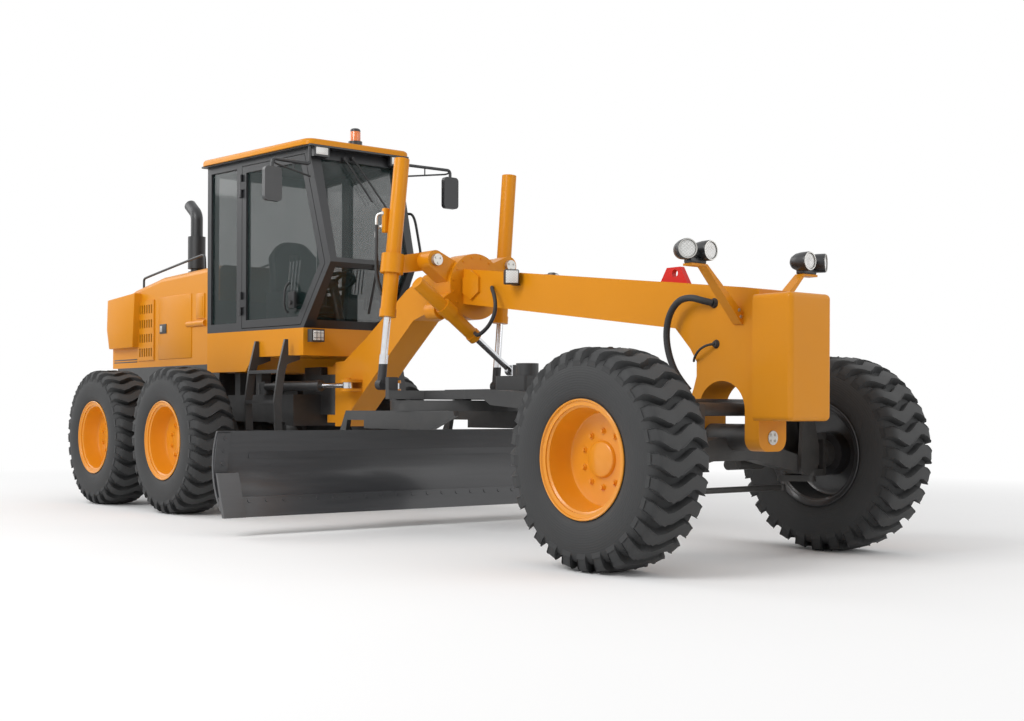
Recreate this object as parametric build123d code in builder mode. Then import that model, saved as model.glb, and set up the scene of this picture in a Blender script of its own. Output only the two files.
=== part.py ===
from build123d import *
import os
from math import cos, radians, sin

# Motor grader in millimetres: X forward, Y to the machine's left, Z up.
# The origin is on the ground, below the middle of the length and width.
os.makedirs("parts", exist_ok=True)

# Running clearances
pin_gap = 0.3
free_gap = 6.0

# Stations along the machine
length = 9062.0
tail_x = -length / 2
nose_x = tail_x + 9055.0
tandem_x = tail_x + 2130.0
wheel_pitch = 1538.0
pivot_x = tandem_x + 1720.0
cab_rear_x = tandem_x + 430.0
cab_front_x = tandem_x + 1894.0
circle_x = tandem_x + 3660.0
saddle_x = tandem_x + 3585.0
lift_x = tandem_x + 3410.0
axle_x = tandem_x + 6270.0

# Wheels
tyre_radius = 662.0
tyre_half_width = 222.0
tread_half_width = 173.0
track = 2164.0
bead_radius = 318.0
flange_radius = 358.0
flange_half_width = 207.0
rim_wall = 14.0
disc_offset = 15.0
disc_thickness = 22.0
hub_cap_radius = 108.0
hub_radius = 150.0
hub_depth = 95.0
axle_z = tyre_radius

right, left = -1, 1
SIDES = ((right, "right"), (left, "left"))


def side_plane(y):
    """A plane seen from the right: its own X is forward and its own Y is up."""
    return Plane(origin=(0, y, 0), x_dir=(1, 0, 0), z_dir=(0, -1, 0))


def end_plane(x):
    """A plane across the machine: its own X is to the left and its own Y is up."""
    return Plane(origin=(x, 0, 0), x_dir=(0, 1, 0), z_dir=(1, 0, 0))


def aimed(start, end):
    """A plane at start whose normal points at end."""
    return Plane(origin=start, z_dir=Vector(*end) - Vector(*start))


def span(start, end):
    return (Vector(*end) - Vector(*start)).length


def lying_y(x, y, z):
    """A place whose own Z points along the machine's Y."""
    return Location((x, y, z), (-90, 0, 0))


def lying_x(x, y, z):
    """A place whose own Z points forward."""
    return Location((x, y, z), (0, 90, 0))


FROM = (Align.CENTER, Align.CENTER, Align.MIN)


def save(piece, name):
    piece.label = name
    export_step(piece, f"parts/{name}.step")


# Wheels: many-sided, a flat side on the ground, axle along +Y and outer face at +Y
wheel_sides = 28
wheel_step = 360 / wheel_sides


def wheel_form(stations):
    """A many-sided body about the axle through stations of width and radius across the flats."""
    with BuildPart() as form:
        for y, radius in stations:
            with BuildSketch(side_plane(y)):
                RegularPolygon(radius, wheel_sides, major_radius=False, rotation=wheel_step / 2)
        loft(ruled=True)
    return form.part


tread_radius = tyre_radius - 24.0
lug_width = 64.0
lug_length = 176.0
lug_slant = 26.0
lug_middle_y = 82.0
# One half of the tyre's outline: width, radius
TYRE_HALF = ((tread_half_width, tread_radius), (206, 590), (tyre_half_width, 470), (192, flange_radius + 4))
with BuildPart() as tyre:
    add(wheel_form((*((-y, r) for y, r in reversed(TYRE_HALF)), *TYRE_HALF)))
    add(
        wheel_form(((-tyre_half_width - 5, bead_radius), (tyre_half_width + 5, bead_radius))),
        mode=Mode.SUBTRACT,
    )
    lug_height = tyre_radius - tread_radius + 12
    lug_places = [
        Location((0, 0, 0), (0, step * wheel_step, 0))
        * Location((0, half * lug_middle_y, tyre_radius - lug_height / 2), (0, 0, half * lug_slant))
        for step in range(wheel_sides) for half in (-1, 1)
    ]
    with Locations(*lug_places):
        Box(lug_width, lug_length, lug_height)

with BuildPart() as rim:
    disc_out = disc_offset
    disc_in = disc_offset - disc_thickness
    flange_in_y = flange_half_width - rim_wall
    add(wheel_form(((-flange_half_width, flange_radius), (-flange_in_y, flange_radius))))
    add(wheel_form(((flange_in_y, flange_radius), (flange_half_width, flange_radius))))
    add(wheel_form(((-flange_half_width, bead_radius), (flange_half_width, bead_radius))))
    for face_y, deep_y in ((flange_half_width, disc_out), (-flange_half_width, disc_in)):
        add(
            wheel_form(sorted(((deep_y, bead_radius - 2 * rim_wall), (face_y, bead_radius - rim_wall)))),
            mode=Mode.SUBTRACT,
        )
    with Locations(lying_y(0, disc_out, 0)):
        Cone(hub_cap_radius, hub_cap_radius - 10, 30, align=FROM)
    with Locations(lying_y(0, disc_in - hub_depth, 0)):
        Cylinder(hub_radius, hub_depth, align=FROM)

# Each wheel's name and how far its axle is ahead of mid length
WHEELS = (
    ("front", axle_x),
    ("mid", tandem_x + wheel_pitch / 2),
    ("rear", tandem_x - wheel_pitch / 2),
)
for wheel, x in WHEELS:
    for side, hand in SIDES:
        place = Location((x, side * track / 2, axle_z), (0, 0, 0 if side == left else 180))
        save(tyre.part.moved(place), f"tyre_{wheel}_{hand}")
        save(rim.part.moved(place), f"rim_{wheel}_{hand}")

# The wheel hub's inner face, where a spindle carries it
hub_face_y = track / 2 - (disc_thickness - disc_offset) - hub_depth

# Tandem cases: long chain cases, pivoted on the ends of the rear axle
case_in_y = 620.0
case_out_y = 815.0
case_end_radius = 235.0
case_mid_radius = 285.0
spindle_radius = 140.0
for side, hand in SIDES:
    with BuildPart() as tandem:
        with BuildSketch(side_plane(side * case_in_y)) as outline:
            with Locations((tandem_x - wheel_pitch / 2, axle_z), (tandem_x + wheel_pitch / 2, axle_z)):
                Circle(case_end_radius)
            with Locations((tandem_x, axle_z)):
                Circle(case_mid_radius)
            make_hull()
        extrude(amount=-side * (case_out_y - case_in_y))
        for x in (tandem_x - wheel_pitch / 2, tandem_x + wheel_pitch / 2):
            with Locations(Location((x, side * case_out_y, axle_z), (-90 * side, 0, 0))):
                Cylinder(spindle_radius, hub_face_y - pin_gap - case_out_y, align=FROM)
    save(tandem.part, f"tandem_{hand}")

# Rear axle: a banjo housing bolted under the rear frame
rail_y = 350.0
rail_width = 100.0
rail_height = 250.0
rail_low_z = 830.0
rail_top_z = rail_low_z + rail_height
axle_drum_radius = 215.0
axle_tube_radius = 130.0
axle_end_radius = 190.0
with BuildPart() as rear_axle:
    with BuildSketch(Plane(origin=(tandem_x, 0, axle_z), x_dir=(0, 1, 0), z_dir=(1, 0, 0))):
        with BuildLine():
            half = case_in_y - pin_gap
            Polyline(
                (-half, 0), (-half, axle_end_radius), (-half + 60, axle_end_radius),
                (-half + 75, axle_tube_radius), (-260, axle_tube_radius + 15),
                (-90, axle_drum_radius), (90, axle_drum_radius),
                (260, axle_tube_radius + 15), (half - 75, axle_tube_radius),
                (half - 60, axle_end_radius), (half, axle_end_radius), (half, 0), close=True,
            )
        make_face()
    revolve(axis=Axis((tandem_x, 0, axle_z), (0, 1, 0)))
    with Locations((tandem_x, -rail_y, rail_low_z), (tandem_x, rail_y, rail_low_z)):
        Box(240, rail_width, rail_low_z - axle_z, align=(Align.CENTER, Align.CENTER, Align.MAX))
save(rear_axle.part, "rear_axle")

# Rear frame: two box rails, the hitch tongue, sills that carry the hood, and cab mounts
tongue_half = 110.0
tongue_low_z = 900.0
tongue_top_z = 1260.0
hitch_front_x = pivot_x - 140.0
hitch_length = 140.0
tower_length = 280.0
tower_top_z = 1330.0
hood_rear_x = tail_x + 60.0
hood_front_x = cab_rear_x - 50.0
hood_low_z = 1380.0
hood_half = 500.0
sill_width = 70.0
sill_height = 160.0
cab_low_z = 1290.0
cab_floor_z = 1420.0
swing_pin_z = 1155.0
swing_pin_x = tandem_x + 1120.0
swing_pin_y = 430.0
swing_pin_radius = 24.0
swing_eye_height = 60.0
outrigger_length = 100.0
with BuildPart() as rear_frame:
    rail_front_x = hitch_front_x - hitch_length
    rail_rear_x = hood_rear_x + 130.0
    for y in (-rail_y, rail_y):
        with Locations(((rail_front_x + rail_rear_x) / 2, y, rail_low_z)):
            Box(rail_front_x - rail_rear_x, rail_width, rail_height,
                align=(Align.CENTER, Align.CENTER, Align.MIN))
    rail_out_y = rail_y + rail_width / 2
    # Cross pieces: middle X, length, half width, low Z, top Z
    for x, long, half, low, top in (
        (rail_rear_x - 20, 40, 480, 800, hood_low_z - 40),
        (tandem_x - 1750, 120, rail_out_y, rail_low_z, rail_top_z),
        (tandem_x + 320, 160, rail_out_y, rail_low_z, rail_top_z),
        (hitch_front_x - hitch_length / 2, hitch_length, rail_out_y, 800, rail_top_z),
        (hitch_front_x - tower_length / 2, tower_length, tongue_half, rail_top_z, tower_top_z),
    ):
        with Locations((x, 0, low)):
            Box(long, 2 * half, top - low, align=(Align.CENTER, Align.CENTER, Align.MIN))
    with BuildSketch(Plane.XY.offset(tongue_low_z)):
        with Locations((pivot_x, 0)):
            Circle(tongue_half)
        with Locations((hitch_front_x, 0)):
            Rectangle(pivot_x - hitch_front_x, 2 * tongue_half, align=(Align.MIN, Align.CENTER))
    extrude(amount=tongue_top_z - tongue_low_z)
    for y in (-rail_y, rail_y):
        with Locations((tandem_x + 560, y, rail_top_z), (tandem_x + 960, y, rail_top_z)):
            Box(outrigger_length, rail_width, cab_low_z - rail_top_z,
                align=(Align.CENTER, Align.CENTER, Align.MIN))
    for side in (right, left):
        sill_front_x = hood_front_x
        sill_y = side * (hood_half - sill_width / 2)
        with Locations(((sill_front_x + rail_rear_x) / 2, sill_y, hood_low_z)):
            Box(sill_front_x - rail_rear_x, sill_width, sill_height,
                align=(Align.CENTER, Align.CENTER, Align.MAX))
        arm_width = hood_half - rail_out_y + 60
        for x in (tandem_x - 1700, tandem_x - 780, tandem_x + 120):
            with Locations((x, side * (hood_half - arm_width / 2), rail_top_z)):
                Box(outrigger_length, arm_width, hood_low_z - sill_height - rail_top_z,
                    align=(Align.CENTER, Align.CENTER, Align.MIN))
        seat_z = swing_pin_z - swing_eye_height / 2 - pin_gap
        with BuildSketch(Plane.XY.offset(rail_top_z)):
            with Locations((swing_pin_x, side * swing_pin_y)):
                Circle(55)
            with Locations((swing_pin_x, side * rail_y)):
                Rectangle(110, 2 * (swing_pin_y - rail_y))
        extrude(amount=seat_z - rail_top_z)
        with Locations((swing_pin_x, side * swing_pin_y, seat_z)):
            Cylinder(swing_pin_radius, swing_eye_height + 2 * pin_gap + 14, align=FROM)
save(rear_frame.part, "rear_frame")

# Engine: one plain block between the rails' tops
engine_half = 320.0
with BuildPart() as engine:
    with Locations((tandem_x - 800, 0, rail_top_z)):
        Box(1300, 2 * engine_half, 780, align=(Align.CENTER, Align.CENTER, Align.MIN))
save(engine.part, "engine")

# Hood: sloping shell with a wider tail box over the cooling pack
hood_wall = 20.0
tail_half = 580.0
tail_front_x = tandem_x - 1363.0
# Top edge of the hood from front to rear: X ahead of the tandem centre, Z
HOOD_TOP = ((90, 2328), (-877, 2301), (-1526, 2214), (-1900, 2130))
with BuildPart() as engine_hood:
    with BuildSketch(side_plane(0)):
        with BuildLine():
            Polyline(
                (hood_rear_x, hood_low_z), (hood_front_x, hood_low_z), (hood_front_x, 2330),
                *((tandem_x + x, z) for x, z in HOOD_TOP), (hood_rear_x, 2090), close=True,
            )
        make_face()
    extrude(amount=hood_half, both=True)
    along_top = engine_hood.edges().filter_by(lambda e: e.center().Z > 2080 and abs(e.center().Y) > 400)
    fillet(along_top, 60)
    with BuildSketch(side_plane(0)):
        with BuildLine():
            Polyline(
                (tail_x + 60, 1594), (tail_front_x - 40, 1594), (tail_front_x + 10, 2165),
                (tail_x + 20, 2121), (tail_x, 1800), close=True,
            )
        make_face()
    extrude(amount=tail_half, both=True)
    with BuildSketch(side_plane(0)):
        with BuildLine():
            Polyline(
                (hood_rear_x + hood_wall, hood_low_z), (hood_front_x - hood_wall, hood_low_z),
                (hood_front_x - hood_wall, 2330 - hood_wall),
                *((tandem_x + x, z - hood_wall) for x, z in HOOD_TOP),
                (hood_rear_x + hood_wall, 2090 - hood_wall), close=True,
            )
        make_face()
    extrude(amount=hood_half - hood_wall, both=True, mode=Mode.SUBTRACT)
    # Louvre panels: middle ahead of the tandem centre, length, lowest slot, count of slots
    for x, long, low, count in ((-1130, 300, 1600, 9), (-760, 300, 1600, 9), (-390, 300, 1600, 9)):
        for slot in range(count):
            with Locations(
                (tandem_x + x, -hood_half, low + slot * 50), (tandem_x + x, hood_half, low + slot * 50)
            ):
                Box(long, 10, 18, mode=Mode.SUBTRACT)
    # Grille across the tail
    for slot in range(7):
        with Locations((tail_x + 20, 0, 1640 + slot * 62)):
            Box(90, 2 * tail_half - 160, 26, mode=Mode.SUBTRACT)
save(engine_hood.part, "engine_hood")



def hood_top_z(x):
    """Height of the hood's top at a station ahead of the tandem centre."""
    for (front, high), (rear, low) in zip(HOOD_TOP, HOOD_TOP[1:]):
        if rear <= x <= front:
            return low + (high - low) * (x - rear) / (front - rear)
    return HOOD_TOP[0][1]


# Exhaust stack: a black pipe through the hood's top, its end bent back
stack_x = tandem_x - 680.0
stack_y = -200.0
stack_radius = 62.0
with BuildPart() as exhaust_stack:
    foot_radius = stack_radius + 25
    foot_z = hood_top_z(stack_x + foot_radius - tandem_x) + pin_gap
    foot = (stack_x, stack_y, foot_z)
    with BuildLine():
        stack_line = FilletPolyline(foot, (stack_x, stack_y, 2950), (stack_x - 150, stack_y, 3060), radius=110)
    with BuildSketch(Plane(origin=foot, z_dir=(0, 0, 1))):
        Circle(stack_radius)
        Circle(stack_radius - 8, mode=Mode.SUBTRACT)
    sweep()
    with Locations(foot):
        Cylinder(foot_radius, 50, align=FROM)
    with Locations((stack_x, stack_y, foot_z + 80)):
        Cylinder(stack_radius + 28, 330, align=FROM)
save(exhaust_stack.part, "exhaust_stack")

# Cab base: floor tub with skirt panels that drop behind the ladder
sill_z = 1660.0
cab_wall = 40.0
cab_rear_half = 655.0
cab_taper = 0.112
skirt_step_x = tandem_x + 1044.0


def cab_half(x):
    """Half width of the cab at a station: it narrows towards the front."""
    return cab_rear_half - cab_taper * (x - cab_rear_x)


def cab_plan(rear_x, front_x, inset):
    """Corners of the cab's plan between two stations, moved in by an inset."""
    rear, front = cab_half(rear_x) - inset, cab_half(front_x) - inset
    return (rear_x, -rear), (front_x, -front), (front_x, front), (rear_x, rear)


with BuildPart() as cab_base:
    with BuildSketch(Plane.XY.offset(cab_floor_z)):
        with BuildLine():
            Polyline(*cab_plan(cab_rear_x, cab_front_x, 0), close=True)
        make_face()
    extrude(amount=sill_z - cab_floor_z)
    with BuildSketch(Plane.XY.offset(cab_floor_z + cab_wall)):
        with BuildLine():
            Polyline(*cab_plan(cab_rear_x + cab_wall, cab_front_x - cab_wall, cab_wall), close=True)
        make_face()
    extrude(amount=sill_z - cab_floor_z, mode=Mode.SUBTRACT)
    with BuildSketch(Plane.XY.offset(cab_low_z)):
        with BuildLine():
            Polyline(*cab_plan(cab_rear_x, skirt_step_x + 110, 0), close=True)
        make_face()
    extrude(amount=cab_floor_z - cab_low_z)
    with BuildSketch(side_plane(0)):
        with BuildLine():
            Polyline(
                (skirt_step_x, cab_low_z), (skirt_step_x + 120, cab_low_z),
                (skirt_step_x + 120, cab_floor_z), (skirt_step_x + 110, cab_floor_z), close=True,
            )
        make_face()
    extrude(amount=cab_rear_half, both=True, mode=Mode.SUBTRACT)
save(cab_base.part, "cab_base")

# Ladders: two bent side plates hung below the cab floor, with four treads
ladder_rear_x = tandem_x + 1250.0
ladder_front_x = tandem_x + 1765.0
ladder_plate = 24.0
tread_height = 30.0
# Outline of a side plate: distance out from the middle, Z
LADDER_SIDE = (
    (450, cab_floor_z), (450, cab_floor_z - 35), (580, 1340), (600, 1278), (640, 1012), (612, 450),
    (682, 450), (712, 1012), (672, 1290), (604, 1560), (572, 1560), (569, cab_floor_z),
)
with BuildPart() as ladders:
    for side in (right, left):
        for x in (ladder_rear_x, ladder_front_x):
            with BuildSketch(end_plane(x - ladder_plate / 2)):
                with BuildLine():
                    Polyline(*((side * y, z) for y, z in LADDER_SIDE), close=True)
                make_face()
            extrude(amount=ladder_plate)
        # Treads: distance out from the middle, Z
        for y, z in ((640, 1278), (675, 1012), (661, 745), (648, 480)):
            with Locations(((ladder_rear_x + ladder_front_x) / 2, side * y, z)):
                Box(ladder_front_x - ladder_rear_x - ladder_plate, 66, tread_height)
save(ladders.part, "ladders")

# Cab frame: tapered in plan, its front face leaning both ways from a low kink
cab_top_z = 3230.0
frame_wall = 50.0
kink_x = tandem_x + 2264.0
kink_z = 2210.0
cab_brow_x = tandem_x + 1963.0
pane_inset = 20.0
pane = 8.0


def cab_block(inset, low_z, high_z):
    """The cab's outer form, moved in all round by an inset, between two heights."""
    def front(z):
        if z <= kink_z:
            return cab_front_x + (kink_x - cab_front_x) * (z - sill_z) / (kink_z - sill_z) - 1.21 * inset
        return kink_x + (cab_brow_x - kink_x) * (z - kink_z) / (cab_top_z - kink_z) - 1.05 * inset
    with BuildPart() as block:
        with BuildSketch(Plane.XY.offset(low_z)):
            with BuildLine():
                Polyline(*cab_plan(cab_rear_x + inset, kink_x, inset), close=True)
            make_face()
        extrude(amount=high_z - low_z)
        with BuildSketch(side_plane(0)):
            with BuildLine():
                Polyline(
                    (cab_rear_x, low_z), (front(low_z), low_z), (front(kink_z), kink_z),
                    (front(high_z), high_z), (cab_rear_x, high_z), close=True,
                )
            make_face()
        extrude(amount=cab_rear_half, both=True, mode=Mode.INTERSECT)
    return block.part


# Door and window outlines seen from the side: X ahead of the tandem centre, Z
b_pillar = tandem_x + 985.0
DOOR = ((985, 1690), (1850, 1690), (2185, 2200), (1900, 3170), (985, 3170))
DOOR_PANE = ((1045, 1760), (1815, 1760), (2115, 2205), (1850, 3110), (1045, 3110))
REAR_SIDE = ((490, 1740), (900, 1740), (900, 3160), (490, 3160))
# Windows seen from the front or rear: middle Z, half width, height
FRONT_LOW = (1950, 385, 440)
FRONT_HIGH = (2690, 380, 880)
REAR = (2560, 560, 1160)
window_gap = 0.5


def side_prism(outline, grow, y_from, y_to):
    """A block with a side outline, grown by a margin, between two widths."""
    with BuildPart() as prism:
        with BuildSketch(side_plane(max(y_from, y_to))):
            with BuildLine():
                Polyline(*((tandem_x + x, z) for x, z in outline), close=True)
            make_face()
            if grow:
                offset(amount=grow, kind=Kind.INTERSECTION)
        extrude(amount=abs(y_to - y_from))
    return prism.part


def end_prism(window, grow, x_from, x_to):
    """A block with a rectangular outline seen from the front, between two stations."""
    middle_z, half, height = window
    with BuildPart() as prism:
        with BuildSketch(end_plane(x_from)):
            with Locations((0, middle_z)):
                Rectangle(2 * (half + grow), height + 2 * grow)
        extrude(amount=x_to - x_from)
    return prism.part


cab_far = cab_rear_half + 60
front_from_x = cab_front_x - 60
door_hinge_x = b_pillar - free_gap / 2
door_hinge_y = cab_half(b_pillar) + 14.0
door_knuckle = 12.0
door_hinge_height = 70.0
DOOR_HINGES = (1880.0, 2960.0)


def hinge_leaf(side, reach, low_z):
    """One leaf of a door hinge: its knuckle on the hinge line and a strap to the wall beside it."""
    with BuildPart() as leaf:
        with BuildSketch(Plane.XY.offset(low_z)):
            with Locations((door_hinge_x, side * door_hinge_y)):
                Circle(door_knuckle)
            with Locations((door_hinge_x + reach, side * (cab_half(door_hinge_x + reach) - 8))):
                Circle(8)
            make_hull()
        extrude(amount=door_hinge_height)
    return leaf.part


outer_block = cab_block(0, sill_z, cab_top_z)
frame_leaves = [
    hinge_leaf(side, -45, z + step)
    for side in (right, left) for z in DOOR_HINGES
    for step in (-door_hinge_height - pin_gap, door_hinge_height + pin_gap)
]
inner_block = cab_block(frame_wall, sill_z, cab_top_z)
with BuildPart() as cab_frame:
    add(outer_block)
    add(inner_block, mode=Mode.SUBTRACT)
    add(side_prism(DOOR, free_gap, -cab_far, cab_far), mode=Mode.SUBTRACT)
    add(side_prism(REAR_SIDE, 0, -cab_far, cab_far), mode=Mode.SUBTRACT)
    add(end_prism(FRONT_LOW, 0, front_from_x, kink_x + 10), mode=Mode.SUBTRACT)
    add(end_prism(FRONT_HIGH, 0, front_from_x, kink_x + 10), mode=Mode.SUBTRACT)
    add(end_prism(REAR, 0, cab_rear_x - 10, cab_rear_x + 2 * frame_wall), mode=Mode.SUBTRACT)
    for hinge in frame_leaves:
        add(hinge)
save(cab_frame.part, "cab_frame")

glass_out = cab_block(pane_inset, sill_z, cab_top_z)
glass_in = cab_block(pane_inset + pane, sill_z, cab_top_z)
with BuildPart() as glass_shell:
    add(glass_out)
    add(glass_in, mode=Mode.SUBTRACT)

PANES = (
    side_prism(REAR_SIDE, -window_gap, -cab_far, cab_far),
    end_prism(FRONT_LOW, -window_gap, front_from_x, kink_x + 10),
    end_prism(FRONT_HIGH, -window_gap, front_from_x, kink_x + 10),
    end_prism(REAR, -window_gap, cab_rear_x - 10, cab_rear_x + 2 * frame_wall),
)
pane_solids = [(glass_shell.part & window) for window in PANES]
with BuildPart() as cab_glass:
    for solids in pane_solids:
        add(solids)
save(cab_glass.part, "cab_glass")

for side, hand in SIDES:
    inner_y, outer_y = side * 200, side * cab_far
    leaf = side_prism(DOOR, 0, inner_y, outer_y)
    opening = side_prism(DOOR_PANE, 0, inner_y, outer_y)
    sheet = side_prism(DOOR_PANE, -window_gap, inner_y, outer_y)
    leaves = [hinge_leaf(side, 45, z) for z in DOOR_HINGES]
    with BuildPart() as door:
        add(outer_block)
        add(inner_block, mode=Mode.SUBTRACT)
        add(leaf, mode=Mode.INTERSECT)
        add(opening, mode=Mode.SUBTRACT)
        for hinge in leaves:
            add(hinge)
    save(door.part, f"door_{hand}")
    with BuildPart() as door_glass:
        add(glass_shell.part)
        add(sheet, mode=Mode.INTERSECT)
    save(door_glass.part, f"door_glass_{hand}")

# Cab roof: thin, overhanging all round, crowned at its edges
roof_front_x = tandem_x + 2050.0
roof_rear_x = cab_rear_x - 30.0
roof_overhang = 70.0
roof_thickness = 62.0
with BuildPart() as cab_roof:
    with BuildSketch(Plane.XY.offset(cab_top_z)):
        with BuildLine():
            Polyline(*cab_plan(roof_rear_x, roof_front_x, -roof_overhang), close=True)
        make_face()
    extrude(amount=roof_thickness)
    chamfer(cab_roof.faces().sort_by(Axis.Z)[-1].edges(), 28, 90)
save(cab_roof.part, "cab_roof")

# Seat on its pedestal, and the steering console with its wheel
floor_top_z = cab_floor_z + cab_wall
seat_x = tandem_x + 1130.0
with BuildPart() as cab_seat:
    with Locations((seat_x, 0, floor_top_z)):
        Box(360, 360, 340, align=FROM)
    with Locations((seat_x, 0, floor_top_z + 340)):
        Box(500, 500, 120, align=FROM)
    with BuildSketch(side_plane(0)):
        with BuildLine():
            Polyline(
                (seat_x - 250, floor_top_z + 460), (seat_x - 120, floor_top_z + 460),
                (seat_x - 200, floor_top_z + 1080), (seat_x - 310, floor_top_z + 1080), close=True,
            )
        make_face()
    extrude(amount=240, both=True)
save(cab_seat.part, "cab_seat")

column_x = tandem_x + 1760.0
with BuildPart() as cab_console:
    with Locations((column_x, 0, floor_top_z)):
        Box(140, 300, 240, align=FROM)
    column_foot = (column_x, 0, floor_top_z + 200)
    column_head = (column_x - 160, 0, floor_top_z + 640)
    with Locations(aimed(column_foot, column_head)):
        Cylinder(42, span(column_foot, column_head), align=FROM)
    wheel_plane = Plane(origin=column_head, z_dir=Vector(*column_head) - Vector(*column_foot))
    with Locations(wheel_plane):
        Box(400, 34, 14)
        Cylinder(50, 30)
    with BuildSketch(wheel_plane.offset(-12)):
        RegularPolygon(216, 20)
        RegularPolygon(184, 20, mode=Mode.SUBTRACT)
    extrude(amount=24)
    for y in (-330, 330):
        with Locations((seat_x + 120, y, floor_top_z)):
            Box(360, 110, 560, align=FROM)
save(cab_console.part, "cab_console")

# Mirrors on bent tubes that hang from the roof's front corners
mirror_root_x = tandem_x + 2012.0
mirror_root_y = 506.0
mirror_tube = 14.0
# Side, elbow height, head middle: distance out, X ahead of the tandem centre, Z
MIRRORS = ((right, 3065, 900, 2052, 2850), (left, 3170, 1010, 2030, 2960))
mirror_size = (46, 165, 290)
with BuildPart() as mirrors:
    for side, elbow_z, out, x, z in MIRRORS:
        root = (mirror_root_x, side * mirror_root_y, cab_top_z)
        elbow = (mirror_root_x, side * mirror_root_y, elbow_z)
        above = (tandem_x + x, side * out, elbow_z)
        head_top = (tandem_x + x, side * out, z + mirror_size[2] / 2 - 5)
        with BuildLine():
            FilletPolyline(root, elbow, above, head_top, radius=32)
        with BuildSketch(Plane(origin=root, z_dir=(0, 0, -1))):
            Circle(mirror_tube)
        sweep()
        with Locations((tandem_x + x, side * out, z)):
            Box(*mirror_size)
    heads = mirrors.edges().filter_by(Axis.X).filter_by(lambda e: abs(e.length - mirror_size[0]) < 1)
    fillet(heads, 35)

# Beacon on the roof, work lamps under its brow and at the foot of the front corners
roof_top_z = cab_top_z + roof_thickness
beacon_x = tandem_x + 1960.0
with BuildPart() as mirrors_and_lamps:
    add(mirrors.part)
    with Locations((beacon_x, 0, roof_top_z)):
        Cylinder(62, 34, align=FROM)
        Cylinder(46, 150, align=FROM)
    fillet(mirrors_and_lamps.edges().sort_by(Axis.Z)[-1], 22)
    for y in (-400, 400):
        with Locations((tandem_x + 2018, y, cab_top_z)):
            Box(50, 150, 90, align=(Align.CENTER, Align.CENTER, Align.MAX))
        with Locations((cab_front_x, y, sill_z - 70)):
            Box(30, 50, 60, align=(Align.MIN, Align.CENTER, Align.CENTER))
        with Locations((cab_front_x + 30, y, sill_z - 70)):
            Box(70, 130, 110, align=(Align.MIN, Align.CENTER, Align.CENTER))
save(mirrors_and_lamps.part, "mirrors_and_lamps")

# Articulation cylinders: from the rail brackets to the ears on the front frame's foot
swing_eye_x = tandem_x + 2225.0
swing_eye_y = 245.0
swing_barrel_radius = 45.0
swing_barrel_length = 780.0
swing_rod_radius = 22.0
swing_eye_radius = 45.0
swing_rod_eye_height = 50.0
swing_bore_start = 200.0
swing_rod_start = swing_bore_start + 170
for side, hand in SIDES:
    base = (swing_pin_x, side * swing_pin_y, swing_pin_z)
    tip = (swing_eye_x, side * swing_eye_y, swing_pin_z)
    reach = span(base, tip)
    line_plane = aimed(base, tip)
    with BuildPart() as swing_barrel:
        with Locations((base[0], base[1], swing_pin_z)):
            Cylinder(50, swing_eye_height)
        with Locations(line_plane):
            Cylinder(swing_barrel_radius, swing_barrel_length, align=FROM)
        with Locations(line_plane.offset(swing_barrel_length - 60)):
            Cylinder(swing_barrel_radius + 5, 60, align=FROM)
        with BuildSketch(line_plane.offset(swing_bore_start)):
            Circle(swing_rod_radius + pin_gap)
        extrude(amount=swing_barrel_length, mode=Mode.SUBTRACT)
        with Locations((base[0], base[1], swing_pin_z)):
            Cylinder(60, 200)
            Cylinder(swing_pin_radius + pin_gap, 200, mode=Mode.SUBTRACT)
        with Locations((base[0], base[1], swing_pin_z + swing_eye_height / 2)):
            Box(300, 300, 200, align=FROM, mode=Mode.SUBTRACT)
        with Locations((base[0], base[1], swing_pin_z - swing_eye_height / 2)):
            Box(300, 300, 200, align=(Align.CENTER, Align.CENTER, Align.MAX), mode=Mode.SUBTRACT)
    save(swing_barrel.part, f"swing_barrel_{hand}")
    with BuildPart() as swing_rod:
        with Locations(line_plane.offset(swing_rod_start)):
            Cylinder(swing_rod_radius, reach - swing_rod_start, align=FROM)
        with Locations(tip):
            Cylinder(swing_eye_radius, swing_rod_eye_height)
    save(swing_rod.part, f"swing_rod_{hand}")

# Front frame: foot, arch, long tapering beam and front leg, as one box section
frame_half = 130.0
foot_x = pivot_x + 130.0
foot_low_z = 798.0
foot_lug_height = 70.0
ear_low_z = 699.0
axle_pin_z = 784.0
rear_ear_x = axle_x - 210.0
rear_ear_length = 80.0
front_ear_x = axle_x + 250.0
leg_front_x = axle_x + 361.0
opening_top_z = 950.0
# Outline, X ahead of the tandem centre and Z: top edge from rear to front
FRAME_TOP = ((1992, 1373), (2306, 1545), (2927, 1935), (3180, 2040), (3480, 2078), (3690, 2052), (4450, 1962), (6511, 1719))
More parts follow.
